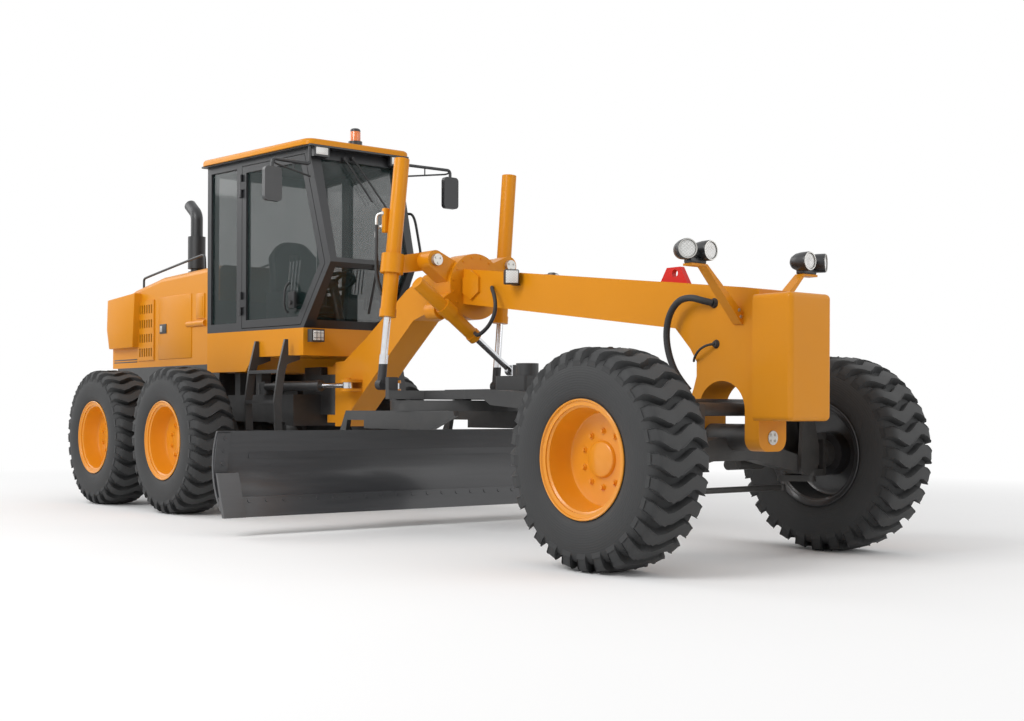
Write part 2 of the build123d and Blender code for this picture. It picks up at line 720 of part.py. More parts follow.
# Bottom edge from front to rear, ahead of the rear ear
FRAME_BOTTOM = ((6100, 1106), (6121, 1173), (6121, 1267), (6065, 1352), (5935, 1488), (4452, 1681), (3690, 1779), (3300, 1755), (3025, 1681), (2623, 1364), (1930, foot_low_z))
ball_x = tandem_x + 5950.0
ball_z = 870.0
ball_seat_z = 960.0
ear_plate = 25.0
ear_gap = 1.0
with BuildPart() as front_frame:
    with BuildSketch(side_plane(0)):
        with BuildLine():
            Polyline(
                (foot_x, foot_low_z), (foot_x, 1368),
                *((tandem_x + x, z) for x, z in FRAME_TOP),
                (leg_front_x, 1700), (leg_front_x, ear_low_z), (rear_ear_x, ear_low_z),
                (rear_ear_x, 1000),
                *((tandem_x + x, z) for x, z in FRAME_BOTTOM), close=True,
            )
        make_face()
    extrude(amount=frame_half, both=True)
    with BuildSketch(side_plane(0)):
        slot_rear_x = rear_ear_x + rear_ear_length
        slot_half = (front_ear_x - slot_rear_x) / 2
        with Locations((slot_rear_x + slot_half, opening_top_z)):
            Circle(slot_half)
            Rectangle(2 * slot_half, 400, align=(Align.CENTER, Align.MAX))
    extrude(amount=frame_half + 10, both=True, mode=Mode.SUBTRACT)
    ear_edges = front_frame.edges().filter_by(Axis.X).filter_by(lambda e: e.center().Z < ear_low_z + 1)
    fillet(ear_edges, 80)
    for low in (tongue_low_z - pin_gap - foot_lug_height, tongue_top_z + pin_gap):
        with BuildSketch(Plane.XY.offset(low)):
            with Locations((pivot_x, 0)):
                Circle(tongue_half)
                Rectangle(foot_x - pivot_x, 2 * tongue_half, align=(Align.MIN, Align.CENTER))
        extrude(amount=foot_lug_height)
    with Locations((pivot_x, 0, tongue_top_z + pin_gap + foot_lug_height)):
        Cylinder(60, 22, align=FROM)
    for side in (right, left):
        for low in (
            swing_pin_z - swing_rod_eye_height / 2 - ear_gap - ear_plate,
            swing_pin_z + swing_rod_eye_height / 2 + ear_gap,
        ):
            with BuildSketch(Plane.XY.offset(low)):
                with Locations((swing_eye_x, side * swing_eye_y)):
                    Circle(60)
                with Locations((swing_eye_x - 30, side * (frame_half + swing_eye_y) / 2)):
                    Rectangle(180, swing_eye_y - frame_half)
            extrude(amount=ear_plate)
        with Locations((swing_eye_x, side * swing_eye_y, swing_pin_z + swing_rod_eye_height / 2 + ear_gap + ear_plate)):
            Cylinder(28, 12, align=FROM)
    with Locations((rear_ear_x, 0, ball_seat_z)):
        Box(190, 160, 80, align=(Align.MAX, Align.CENTER, Align.MIN))
    # Lifting lug on the beam's top
    lug_x = tandem_x + 5812.0
    with BuildSketch(side_plane(0)):
        with BuildLine():
            Polyline((lug_x - 131, 1790), (lug_x - 60, 1905), (lug_x + 60, 1905), (lug_x + 131, 1780), (lug_x, 1700), close=True)
        make_face()
        with Locations((lug_x + 14, 1863)):
            Circle(26, mode=Mode.SUBTRACT)
    extrude(amount=20, both=True)
save(front_frame.part, "front_frame")

# Saddle: drum round the beam, arms for the lift cylinders, bracket for the centre-shift cylinder
saddle_z = 1920.0
drum_radius = 260.0
drum_length = 210.0
yoke_pin_y = 370.0
yoke_pin_z = 2112.0
yoke_pin_radius = 40.0
yoke_length = 140.0
drum_rear_x = saddle_x - drum_length / 2
drum_front_x = saddle_x + drum_length / 2
shift_x = drum_front_x + 75.0
trunnion_y = -347.0
trunnion_z = 1720.0
with BuildPart() as saddle:
    with Locations(lying_x(drum_rear_x, 0, saddle_z)):
        Cylinder(drum_radius, drum_length, align=FROM)
    for side in (right, left):
        with BuildSketch(end_plane(drum_rear_x + 20)):
            with Locations((side * yoke_pin_y, yoke_pin_z)):
                Circle(75)
            with Locations((side * 180, 2010)):
                Circle(95)
            make_hull()
        extrude(amount=150)
        with Locations(lying_x(drum_rear_x + 20 - pin_gap - yoke_length, side * yoke_pin_y, yoke_pin_z)):
            Cylinder(yoke_pin_radius, 150 + yoke_length + 20, align=FROM)
    with BuildSketch(end_plane(drum_rear_x + 70)):
        with Locations((trunnion_y, trunnion_z)):
            Circle(70)
        with Locations((-150, 1800)):
            Circle(110)
        make_hull()
    extrude(amount=drum_front_x - drum_rear_x - 70)
    add(front_frame.part, mode=Mode.SUBTRACT)
save(saddle.part, "saddle")

# Nose weight: a big rounded block bolted to the front leg
nose_half = 195.0
nose_low_z = 890.0
nose_top_z = 1665.0
with BuildPart() as nose_weight:
    with Locations((leg_front_x, 0, nose_low_z)):
        Box(nose_x - leg_front_x, 2 * nose_half, nose_top_z - nose_low_z, align=(Align.MIN, Align.CENTER, Align.MIN))
    fillet(nose_weight.edges().filter_by(lambda e: e.center().X > leg_front_x + 10), 32)
save(nose_weight.part, "nose_weight")

# Headlamps: two pods a side on bent arms from the front leg's sides
lamp_x = axle_x + 195.0
lamp_y = 530.0
lamp_z = 1920.0
lamp_seat_z = 1840.0
with BuildPart() as headlamps:
    for side in (right, left):
        with BuildSketch(end_plane(lamp_x - 30)):
            with BuildLine():
                Polyline(
                    (side * frame_half, 1490), (side * (frame_half + 14), 1490),
                    (side * (lamp_y - 60), lamp_seat_z - 14), (side * (lamp_y + 70), lamp_seat_z - 14),
                    (side * (lamp_y + 70), lamp_seat_z), (side * (lamp_y - 70), lamp_seat_z),
                    (side * frame_half, 1560), close=True,
                )
            make_face()
        extrude(amount=70)
        for turn, out in ((0, -58), (side * 28, 58)):
            with Locations(Location((lamp_x - 70, side * (lamp_y + out), lamp_z), (0, 90, turn))):
                Cylinder(62, 150, align=FROM)
        with Locations((lamp_x, side * lamp_y, lamp_seat_z)):
            Box(70, 150, 40, align=FROM)
save(headlamps.part, "headlamps")

# Front axle: tapered beam hung on the front leg's pin, with its steering and lean cylinders
beam_half = 60.0
boss_radius = 85.0
lean_y = 690.0
lean_z = 590.0
lean_boss_radius = 60.0
lean_top_z = 1000.0
steer_y = track / 2 - 252.0
arm_reach = 150.0
arm_pin_y = 720.0
housing_low_z = 560.0
fork_height = 45.0
arm_thickness = 40.0
arm_low_z = housing_low_z - pin_gap - fork_height - arm_thickness
arm_gap_over = 66.0
arm_gap_under = 24.0
steer_rod_radius = 18.0
steer_barrel_radius = 36.0
steer_barrel_in_y = 175.0
steer_barrel_out_y = 510.0
steer_eye_height = 32.0
steer_rod_z = arm_low_z + arm_thickness + arm_gap_over + steer_eye_height / 2
tie_radius = 20.0
tie_z = arm_low_z - arm_gap_under - tie_radius
arm_x = axle_x - arm_reach
lean_cyl_x = axle_x + 125.0
lean_cyl_z = 960.0
lean_cyl_radius = 42.0
lean_rod_radius = 22.0
lean_cyl_from_y = -430.0
lean_cyl_to_y = 150.0
with BuildPart() as front_axle:
    with BuildSketch(end_plane(axle_x - beam_half)):
        with BuildLine():
            Polyline(
                (-lean_y, 535), (-lean_y, 645), (-150, 782), (150, 782), (lean_y, 645),
                (lean_y, 535), (200, 632), (-200, 632), close=True,
            )
        make_face()
        with Locations((-lean_y, lean_z), (lean_y, lean_z)):
            Circle(lean_boss_radius)
    extrude(amount=2 * beam_half)
    boss_from_x = rear_ear_x + rear_ear_length + pin_gap
    with Locations(lying_x(boss_from_x, 0, axle_pin_z)):
        Cylinder(boss_radius, front_ear_x - pin_gap - boss_from_x, align=FROM)
    for side in (right, left):
        with Locations((axle_x - beam_half, side * steer_barrel_in_y, steer_rod_z - 25)):
            Box(arm_reach - beam_half, 44, 130, align=(Align.MAX, Align.CENTER, Align.MIN))
        with Locations(Location((arm_x, side * steer_barrel_in_y, steer_rod_z), (-90 * side, 0, 0))):
            Cylinder(steer_barrel_radius, steer_barrel_out_y - steer_barrel_in_y, align=FROM)
        with Locations(Location((arm_x, side * (steer_barrel_in_y + 20), steer_rod_z), (-90 * side, 0, 0))):
            Cylinder(steer_rod_radius + pin_gap, steer_barrel_out_y, align=FROM, mode=Mode.SUBTRACT)
    with Locations((axle_x + beam_half, lean_cyl_from_y, 620)):
        Box(110, 50, lean_cyl_z + 30 - 620, align=(Align.MIN, Align.CENTER, Align.MIN))
    with Locations(lying_y(lean_cyl_x, lean_cyl_from_y, lean_cyl_z)):
        Cylinder(lean_cyl_radius, lean_cyl_to_y - lean_cyl_from_y, align=FROM)
    with Locations(lying_y(lean_cyl_x, lean_cyl_from_y + 60, lean_cyl_z)):
        Cylinder(lean_rod_radius + pin_gap, lean_cyl_to_y - lean_cyl_from_y, align=FROM, mode=Mode.SUBTRACT)
save(front_axle.part, "front_axle")

# Lean brackets: twin cheeks on the axle's ends that carry the kingpin housings
cheek = 30.0
housing_radius = 55.0
housing_top_z = 760.0
lean_top_radius = 38.0
lean_top_pin = 18.0
for side, hand in SIDES:
    with BuildPart() as lean_bracket:
        for x in (axle_x - beam_half - pin_gap - cheek, axle_x + beam_half + pin_gap):
            with BuildSketch(end_plane(x)):
                with Locations((side * lean_y, lean_z)):
                    Circle(lean_boss_radius + 5)
                with Locations((side * lean_y, lean_top_z)):
                    Circle(lean_top_radius)
                with Locations((side * (steer_y - 30), (housing_low_z + housing_top_z) / 2)):
                    Rectangle(20, housing_top_z - housing_low_z - 60)
                make_hull()
            extrude(amount=cheek)
        with Locations((axle_x, side * steer_y, housing_low_z)):
            Cylinder(housing_radius, housing_top_z - housing_low_z, align=FROM)
        with Locations((axle_x, side * (steer_y - 34), (housing_low_z + housing_top_z) / 2)):
            Box(2 * (beam_half + pin_gap + cheek), 36, housing_top_z - housing_low_z - 60)
        with Locations(lying_x(axle_x - beam_half - 1, side * lean_y, lean_top_z)):
            Cylinder(lean_top_pin, 2 * beam_half + 2, align=FROM)
    save(lean_bracket.part, f"lean_bracket_{hand}")

# Lean bar between the brackets' tops
bar_radius = 26.0
with BuildPart() as lean_bar:
    with Locations(lying_y(axle_x, -lean_y, lean_top_z)):
        Cylinder(bar_radius, 2 * lean_y, align=FROM)
    for y in (-lean_y, lean_y):
        with Locations(Location((axle_x, y, lean_top_z), (0, 90, 0))):
            Cylinder(lean_top_radius, 60)
            Cylinder(lean_top_pin + pin_gap + (1.5 if y > 0 else 0), 200, mode=Mode.SUBTRACT)
save(lean_bar.part, "lean_bar")

with BuildPart() as lean_rod:
    rod_from_y = lean_cyl_to_y - 180
    with Locations(lying_y(lean_cyl_x, rod_from_y, lean_cyl_z)):
        Cylinder(lean_rod_radius, lean_y - rod_from_y, align=FROM)
    with Locations(lying_x(axle_x + beam_half + cheek + free_gap, lean_y, lean_cyl_z)):
        Cylinder(34, 26, align=FROM)
save(lean_rod.part, "lean_rod")

# Steering knuckles: a fork on the kingpin, the wheel's spindle and a steering arm
spindle_front_radius = 95.0
kingpin_radius = 40.0
arm_eye_radius = 27.0
fork_back_y = steer_y + 62.0
for side, hand in SIDES:
    with BuildPart() as knuckle:
        for low in (housing_low_z - pin_gap - fork_height, housing_top_z + pin_gap):
            with BuildSketch(Plane.XY.offset(low)):
                with Locations((axle_x, side * steer_y)):
                    Circle(housing_radius)
                with Locations((axle_x, side * (fork_back_y + 5))):
                    Rectangle(2 * housing_radius + 20, 20)
                make_hull()
            extrude(amount=fork_height)
        fork_low_z = housing_low_z - pin_gap - fork_height
        fork_top_z = housing_top_z + pin_gap + fork_height
        with Locations((axle_x, side * (fork_back_y + 15), fork_low_z)):
            Box(2 * housing_radius + 20, 30, fork_top_z - fork_low_z, align=FROM)
        with Locations(Location((axle_x, side * (fork_back_y + 20), axle_z), (-90 * side, 0, 0))):
            Cylinder(spindle_front_radius, hub_face_y - pin_gap - fork_back_y - 20, align=FROM)
        with BuildSketch(Plane.XY.offset(arm_low_z)):
            with Locations((arm_x, side * arm_pin_y)):
                Circle(arm_eye_radius)
            with Locations((axle_x, side * steer_y)):
                Circle(kingpin_radius)
            make_hull()
        extrude(amount=arm_thickness)
    save(knuckle.part, f"knuckle_{hand}")
    with BuildPart() as steering_rod:
        rod_in_y = steer_barrel_out_y - 170
        with Locations(Location((arm_x, side * rod_in_y, steer_rod_z), (-90 * side, 0, 0))):
            Cylinder(steer_rod_radius, arm_pin_y - rod_in_y, align=FROM)
        with Locations((arm_x, side * arm_pin_y, steer_rod_z)):
            Cylinder(28, steer_eye_height)
    save(steering_rod.part, f"steering_rod_{hand}")

with BuildPart() as tie_rod:
    with Locations(lying_y(arm_x, -arm_pin_y, tie_z)):
        Cylinder(tie_radius, 2 * arm_pin_y, align=FROM)
    for y in (-arm_pin_y, arm_pin_y):
        with Locations((arm_x, y, tie_z)):
            Cylinder(28, 2 * tie_radius)
save(tie_rod.part, "tie_rod")

# Drawbar frame of reference: origin below the ball, its own X forward along the bar
drawbar_turn = 3.11
bar_cos = cos(radians(drawbar_turn))
bar_sin = sin(radians(drawbar_turn))


def bar_point(x, y, z):
    """A place given ahead of the ball along the drawbar, to its left, and up."""
    return ball_x + x * bar_cos - y * bar_sin, x * bar_sin + y * bar_cos, z


def bar_flat(z):
    return Plane(origin=(ball_x, 0, z), x_dir=(bar_cos, bar_sin, 0), z_dir=(0, 0, 1))


def bar_side(y):
    """A plane along the drawbar seen from its right, at a distance to its left."""
    return Plane(origin=bar_point(0, y, 0), x_dir=(bar_cos, bar_sin, 0), z_dir=(bar_sin, -bar_cos, 0))


# Drawbar ball: hangs under the frame's seat and carries the drawbar's head on trunnions
ball_radius = 70.0
ball_waist = 32.0
ball_neck = 40.0
ball_trunnion = 30.0
head_in_y = 75.0
head_out_y = 115.0
with BuildPart() as drawbar_ball:
    with Locations((ball_x, 0, ball_z)):
        Cylinder(ball_radius, 2 * ball_waist)
        Cylinder(ball_neck, ball_seat_z - pin_gap - ball_z, align=FROM)
    with Locations((ball_x, 0, ball_z + ball_waist)):
        Cone(ball_radius, ball_neck, 35, align=FROM)
    with Locations((ball_x, 0, ball_z - ball_waist)):
        Cone(ball_neck, ball_radius, 35, align=(Align.CENTER, Align.CENTER, Align.MAX))
    with BuildSketch(bar_side(-head_out_y)):
        with Locations((0, ball_z)):
            Circle(ball_trunnion)
    extrude(amount=-2 * head_out_y)
save(drawbar_ball.part, "drawbar_ball")

# Drawbar: welded A-frame with a deep head, ears for the cylinders and the circle drive
bar_rear = -2660.0
bar_low_z = 1030.0
bar_top_z = 1095.0
ear_x = -2544.0
ear_y = 600.0
ear_z = 1142.0
lift_eye_half = 30.0
lift_ear_gap = 80.0
lift_ear_length = 40.0
lift_ear_width = 90.0
lift_ear_half_height = 55.0
shift_ear_gap = 60.0
shift_eye_half = 20.0
shift_top = (shift_x, -634.0, 1913.0)
shift_mouth = (shift_x, -65.0, 1513.0)
shift_eye_y = 286.0
shift_slope = (shift_mouth[2] - shift_top[2]) / (shift_mouth[1] - shift_top[1])
shift_eye = (shift_x, shift_eye_y, shift_mouth[2] + shift_slope * (shift_eye_y - shift_mouth[1]))
drive_x = -1650.0
# Half plan, ahead of the ball and out from the middle
BAR_PLAN = ((bar_rear, 400), (ear_x, 440), (-1750, 440), (-700, 140), (-80, head_out_y))
BAR_HOLE = ((-1480, 190), (-760, 40))
circle_reach = 2290.0
ring_radius = 560.0
ring_inner = 450.0
ring_top_z = 1020.0
ring_height = 80.0
pad_gap = 0.3
with BuildPart() as drawbar:
    with BuildSketch(bar_flat(780)):
        with BuildLine():
            Polyline(*((x, -y) for x, y in BAR_PLAN), *((x, y) for x, y in reversed(BAR_PLAN)), close=True)
        make_face()
        with BuildLine():
            Polyline(*((x, -y) for x, y in BAR_HOLE), *((x, y) for x, y in reversed(BAR_HOLE)), close=True)
        make_face(mode=Mode.SUBTRACT)
    extrude(amount=400)
    with BuildSketch(bar_side(0)):
        with BuildLine():
            Polyline(
                (bar_rear, bar_top_z), (-1500, bar_top_z), (-500, 1010), (-75, 930), (-75, 810), (-500, 880),
                (-1540, 985), (-1600, bar_low_z), (bar_rear, bar_low_z), close=True,
            )
        make_face()
    extrude(amount=600, both=True, mode=Mode.INTERSECT)
    for side in (right, left):
        with BuildSketch(bar_side(side * head_in_y)):
            with Locations((0, ball_z)):
                Circle(58)
            with Locations((-80, ball_z)):
                Rectangle(10, 116)
            make_hull()
        extrude(amount=-side * (head_out_y - head_in_y))
        # Bracket with an upright ear ahead of the lift rod's eye
        ear_middle_x = ear_x + lift_eye_half + lift_ear_gap + lift_ear_length / 2
        with BuildSketch(bar_flat(bar_low_z)):
            with Locations((ear_middle_x, side * ear_y)):
                Rectangle(lift_ear_length, lift_ear_width)
            with Locations((ear_middle_x + 90, side * 400)):
                Rectangle(220, 60)
            make_hull()
        extrude(amount=bar_top_z - bar_low_z)
        with BuildSketch(bar_flat(bar_low_z)):
            with Locations((ear_middle_x, side * ear_y)):
                Rectangle(lift_ear_length, lift_ear_width)
        extrude(amount=ear_z + lift_ear_half_height - bar_low_z)
    with BuildSketch(bar_side(-head_out_y - 10)):
        with Locations((0, ball_z)):
            Circle(ball_trunnion + pin_gap)
    extrude(amount=-2 * head_out_y - 20, mode=Mode.SUBTRACT)
    # Ear in front of the centre-shift rod's eye
    ear_at = bar_flat(bar_top_z).to_local_coords(Vector(shift_eye[0], shift_eye[1], 0))
    with BuildSketch(bar_flat(bar_top_z)):
        with Locations((ear_at.X + shift_eye_half + shift_ear_gap, ear_at.Y)):
            Rectangle(36, 90, align=(Align.MIN, Align.CENTER))
    extrude(amount=shift_eye[2] + 40 - bar_top_z)
    # Circle drive: gearbox, motor and cap
    with BuildSketch(bar_flat(bar_top_z)):
        with Locations((drive_x, 60)):
            RectangleRounded(330, 300, 30)
    extrude(amount=110)
    with BuildSketch(bar_flat(bar_top_z + 110)):
        with Locations((drive_x + 40, 60)):
            Circle(85)
    extrude(amount=95)
    # Pads that the circle runs under
    for angle in (40, 140, 220, 320):
        x = -circle_reach + (ring_radius - 50) * cos(radians(angle))
        y = (ring_radius - 50) * sin(radians(angle))
        with BuildSketch(bar_flat(ring_top_z + pad_gap)):
            with Locations((x, y)):
                Rectangle(90, 90)
        extrude(amount=bar_low_z - ring_top_z - pad_gap)
save(drawbar.part, "drawbar")

# Circle: ring under the drawbar, with two side arms that pass over the blade and down behind it
circle_at = bar_point(-circle_reach, 0, 0)
arm_y = 525.0
arm_plate = 40.0
hinge_back = 880.0
blade_hinge_z = 420.0
hinge_radius = 45.0
# Side arm, ahead of the circle's centre and Z
ARM = (
    (-940, blade_hinge_z), (-940, 720), (-820, 940), (600, 940), (612, 905), (330, 800), (-560, 800),
    (-560, 865), (-800, 865), (-840, 700), (-840, blade_hinge_z),
)
with BuildPart() as circle:
    with BuildSketch(Plane.XY.offset(ring_top_z - ring_height)):
        with Locations((circle_at[0], circle_at[1])):
            Circle(ring_radius)
            Circle(ring_inner, mode=Mode.SUBTRACT)
    extrude(amount=ring_height)
    for side in (right, left):
        inner_face = circle_at[1] + side * (arm_y - arm_plate / 2)
        with BuildSketch(side_plane(inner_face)):
            with BuildLine():
                Polyline(*((circle_at[0] + x, z) for x, z in ARM), close=True)
            make_face()
            with Locations((circle_at[0] - hinge_back, blade_hinge_z)):
                Circle(hinge_radius)
        extrude(amount=-side * arm_plate)
save(circle.part, "circle")

# Blade carriage: tube hinged between the arms, with jaws on the blade's rails
blade_x = circle_at[0] - 653.0
blade_top_z = 785.0
blade_low_z = 140.0
blade_length = 3830.0
blade_wall = 24.0
rail_length = 3240.0
rail_x = blade_x - 120.0
rail_depth = 40.0
rail_bar = 50.0
RAIL_Z = (600.0, 340.0)
jaw_gap = 1.0
jaw_y = 440.0
shift_barrel_radius = 32.0
shift_rod_radius = 20.0
side_cyl_z = 470.0
side_cyl_x = rail_x - 4.0
hinge_x = circle_at[0] - hinge_back
tube_radius = 42.0
with BuildPart() as blade_carriage:
    tube_half = arm_y - arm_plate / 2 - pin_gap
    with Locations(lying_y(hinge_x, circle_at[1] - tube_half, blade_hinge_z)):
        Cylinder(tube_radius, 2 * tube_half, align=FROM)
    for y in (circle_at[1] - jaw_y, circle_at[1] + jaw_y):
        with BuildSketch(side_plane(y + 35)):
            with BuildLine():
                Polyline(
                    (hinge_x - 20, 460), (hinge_x + 20, 650), (rail_x + 28, 650), (rail_x + 28, 290),
                    (hinge_x + 20, 290), (hinge_x - 20, 380), close=True,
                )
            make_face()
            for z in RAIL_Z:
                with Locations((rail_x - jaw_gap, z)):
                    Rectangle(200, rail_bar + 2 * jaw_gap, align=(Align.MIN, Align.CENTER), mode=Mode.SUBTRACT)
        extrude(amount=70)
    with Locations(lying_y(side_cyl_x, circle_at[1] - jaw_y - 430, side_cyl_z)):
        Cylinder(shift_barrel_radius, 2 * jaw_y + 430 + 50, align=FROM)
    with Locations(lying_y(side_cyl_x, circle_at[1] - jaw_y - 400, side_cyl_z)):
        Cylinder(shift_rod_radius + pin_gap, 2 * jaw_y + 800, align=FROM, mode=Mode.SUBTRACT)
save(blade_carriage.part, "blade_carriage")

# Moldboard: rolled plate with a cutting edge, end bits, two rails on its back and the shift rod
blade_mid = (blade_x - 62.0, 470.0)
edge_height = 150.0
edge_plate = 20.0
with BuildPart() as moldboard:
    with BuildSketch(side_plane(blade_length / 2)):
        with BuildLine():
            low = (blade_x + 66, blade_low_z + 60)
            top = (blade_x, blade_top_z)
            ThreePointArc(top, blade_mid, low)
            Line(low, (low[0] - blade_wall, low[1] - 8))
            ThreePointArc((low[0] - blade_wall, low[1] - 8), (blade_mid[0] - blade_wall, blade_mid[1]), (top[0] - blade_wall, top[1]))
            Line((top[0] - blade_wall, top[1]), top)
        make_face()
        with BuildLine():
            Polyline(
                (blade_x + 12, blade_low_z + edge_height), (blade_x + 30, blade_low_z + edge_height),
                (blade_x + 94, blade_low_z), (blade_x + 74, blade_low_z), close=True,
            )
        make_face()
    extrude(amount=blade_length)
    # End bits: upright plates on the face at the blade's two ends
    for side in (right, left):
        with BuildSketch(side_plane(side * blade_length / 2)):
            with BuildLine():
                Polyline(
                    (blade_x - 30, blade_low_z + 330), (blade_x - 4, blade_low_z + 330),
                    (blade_x + 110, blade_low_z), (blade_x + 74, blade_low_z), close=True,
                )
            make_face()
        extrude(amount=side * 180)
    for z in RAIL_Z:
        with Locations((rail_x, 0, z)):
            Box(62, rail_length, rail_bar, align=(Align.MIN, Align.CENTER, Align.CENTER))
    lug_y = 1050.0
    with Locations((rail_x - 28, lug_y, side_cyl_z)):
        Box(88, 36, 70, align=(Align.MIN, Align.CENTER, Align.CENTER))
    with Locations(lying_y(side_cyl_x, circle_at[1] - 200, side_cyl_z)):
        Cylinder(shift_rod_radius, lug_y - circle_at[1] + 200, align=FROM)
save(moldboard.part, "moldboard")

# Lift cylinders: barrel in a collar and yoke on the saddle's pin, rod down to the drawbar's ear
lift_top_z = 2900.0
lift_low_z = 1665.0
lift_radius = 60.0
lift_rod_radius = 28.0
lift_socket_radius = 34.0
collar_radius = 90.0
# How far out each lift cylinder crosses its collar
COLLAR_Y = {right: 637.0, left: 533.0}
collar_z = 2078.0
rod_inner_z = 2330.0
for side, hand in SIDES:
    yoke_rear_x = drum_rear_x + 20 - pin_gap - yoke_length
    eye = bar_point(ear_x, side * ear_y, ear_z)
    collar_y = COLLAR_Y[side]
    collar = (eye[0], side * collar_y, collar_z)
    rise = (collar_z - ear_z)

    def on_line(z):
        """A place on the cylinder's line at a height."""
        return eye[0], eye[1] + (collar[1] - eye[1]) * (z - ear_z) / rise, z

    low_end, high_end = on_line(lift_low_z), on_line(lift_top_z)
    with BuildPart() as lift_barrel:
        with Locations(aimed(low_end, high_end)):
            Cylinder(lift_radius, span(low_end, high_end), align=FROM)
            Cylinder(lift_radius + 6, 60, align=FROM)
        with Locations(aimed(collar, high_end)):
            Cylinder(collar_radius, 150)
        with BuildSketch(end_plane(yoke_rear_x)):
            with Locations((side * yoke_pin_y, yoke_pin_z)):
                Circle(72)
            with Locations((side * (collar_y - 60), collar_z)):
                Rectangle(30, 130)
            make_hull()
        extrude(amount=yoke_length)
        with Locations(lying_x(yoke_rear_x - 10, side * yoke_pin_y, yoke_pin_z)):
            Cylinder(yoke_pin_radius + pin_gap, yoke_length + 40, align=FROM, mode=Mode.SUBTRACT)
        with Locations(aimed(low_end, high_end).offset(-10)):
            Cylinder(lift_rod_radius + pin_gap, span(low_end, on_line(lift_top_z - 120)), align=FROM, mode=Mode.SUBTRACT)
    save(lift_barrel.part, f"lift_barrel_{hand}")
    with BuildPart() as lift_rod:
        with Locations(aimed(eye, high_end)):
            Cylinder(lift_rod_radius, span(eye, on_line(rod_inner_z)), align=FROM)
            Cylinder(lift_socket_radius, 230, align=FROM)
        eye_rear = bar_point(ear_x - lift_eye_half, side * ear_y, ear_z)
        with Locations(aimed(eye_rear, eye)):
            Cylinder(42, 2 * lift_eye_half, align=FROM)
    save(lift_rod.part, f"lift_rod_{hand}")

# Centre-shift cylinder: on a trunnion in front of the saddle, its rod to the drawbar's ear
shift_barrel = 52.0
with BuildPart() as centre_barrel:
    with Locations(aimed(shift_mouth, shift_top)):
        Cylinder(shift_barrel, span(shift_mouth, shift_top), align=FROM)
        Cylinder(shift_barrel + 6, 50, align=FROM)
    with Locations(aimed((shift_x, trunnion_y, trunnion_z), shift_top)):
        Cylinder(64, 110)
    with Locations(lying_x(drum_front_x + pin_gap, trunnion_y, trunnion_z)):
        Cylinder(45, shift_x - drum_front_x - pin_gap, align=FROM)
    with Locations(aimed(shift_mouth, shift_top).offset(-10)):
        Cylinder(25 + pin_gap, span(shift_mouth, shift_top) - 40, align=FROM, mode=Mode.SUBTRACT)
save(centre_barrel.part, "centre_barrel")
with BuildPart() as centre_rod:
    inner = Vector(*shift_mouth) + (Vector(*shift_top) - Vector(*shift_mouth)).normalized() * 300
    inner_end = (inner.X, inner.Y, inner.Z)
    with Locations(aimed(shift_eye, inner_end)):
        Cylinder(25, span(shift_eye, inner_end), align=FROM)
    with Locations(lying_x(shift_x - shift_eye_half, shift_eye[1], shift_eye[2])):
        Cylinder(42, 2 * shift_eye_half, align=FROM)
save(centre_rod.part, "centre_rod")
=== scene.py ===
from math import cos, pi, radians, sin
import bmesh
import bpy
from mathutils import Matrix, Vector


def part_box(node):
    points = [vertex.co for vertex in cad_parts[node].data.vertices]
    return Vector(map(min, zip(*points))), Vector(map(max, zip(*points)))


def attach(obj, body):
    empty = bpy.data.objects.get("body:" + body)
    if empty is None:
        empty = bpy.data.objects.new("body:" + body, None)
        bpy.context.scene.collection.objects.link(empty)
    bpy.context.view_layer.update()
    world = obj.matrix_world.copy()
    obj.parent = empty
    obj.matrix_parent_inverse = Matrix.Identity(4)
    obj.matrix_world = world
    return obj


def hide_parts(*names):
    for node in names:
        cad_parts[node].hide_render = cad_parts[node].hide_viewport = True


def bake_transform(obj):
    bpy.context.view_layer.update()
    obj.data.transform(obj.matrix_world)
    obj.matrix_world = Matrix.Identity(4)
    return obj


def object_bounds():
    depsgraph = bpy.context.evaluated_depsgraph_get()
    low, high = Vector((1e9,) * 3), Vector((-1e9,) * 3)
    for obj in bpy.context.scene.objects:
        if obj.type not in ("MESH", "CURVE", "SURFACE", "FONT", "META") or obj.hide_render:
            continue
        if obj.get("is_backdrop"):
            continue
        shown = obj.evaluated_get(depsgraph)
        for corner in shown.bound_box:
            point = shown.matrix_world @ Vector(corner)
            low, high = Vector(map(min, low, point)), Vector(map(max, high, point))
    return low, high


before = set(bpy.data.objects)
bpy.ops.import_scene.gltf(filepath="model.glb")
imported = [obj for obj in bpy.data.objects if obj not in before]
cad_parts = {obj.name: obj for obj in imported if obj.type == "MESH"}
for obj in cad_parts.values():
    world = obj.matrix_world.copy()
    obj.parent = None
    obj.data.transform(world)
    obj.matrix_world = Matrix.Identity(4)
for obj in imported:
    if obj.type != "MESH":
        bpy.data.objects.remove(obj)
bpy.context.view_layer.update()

# The place it is seen from: a pale studio floor, a white surround and a long lens held at bonnet height.
# The camera stands ahead of the machine and to its right, with a small shift for the picture's framing.
EYE = Vector((9.76907, -6.78766, 0.9572))
AHEAD = Vector((-0.793645, 0.608381, -0.000324)).normalized()
EYE_ROLL = 0.0038
level = AHEAD.cross(Vector((0, 0, 1))).normalized()
upward = level.cross(AHEAD)
eye_right = level * cos(EYE_ROLL) + upward * sin(EYE_ROLL)
eye_up = upward * cos(EYE_ROLL) - level * sin(EYE_ROLL)
camera_data = bpy.data.cameras.new("photo_view")
camera_data.sensor_width = 36.0
camera_data.lens = 48.387
camera_data.shift_x = 0.06341
camera_data.shift_y = 0.04753
camera_data.clip_end = 400.0
camera = bpy.data.objects.new("photo_view", camera_data)
bpy.context.collection.objects.link(camera)
turn = Matrix((eye_right, eye_up, -AHEAD)).transposed()
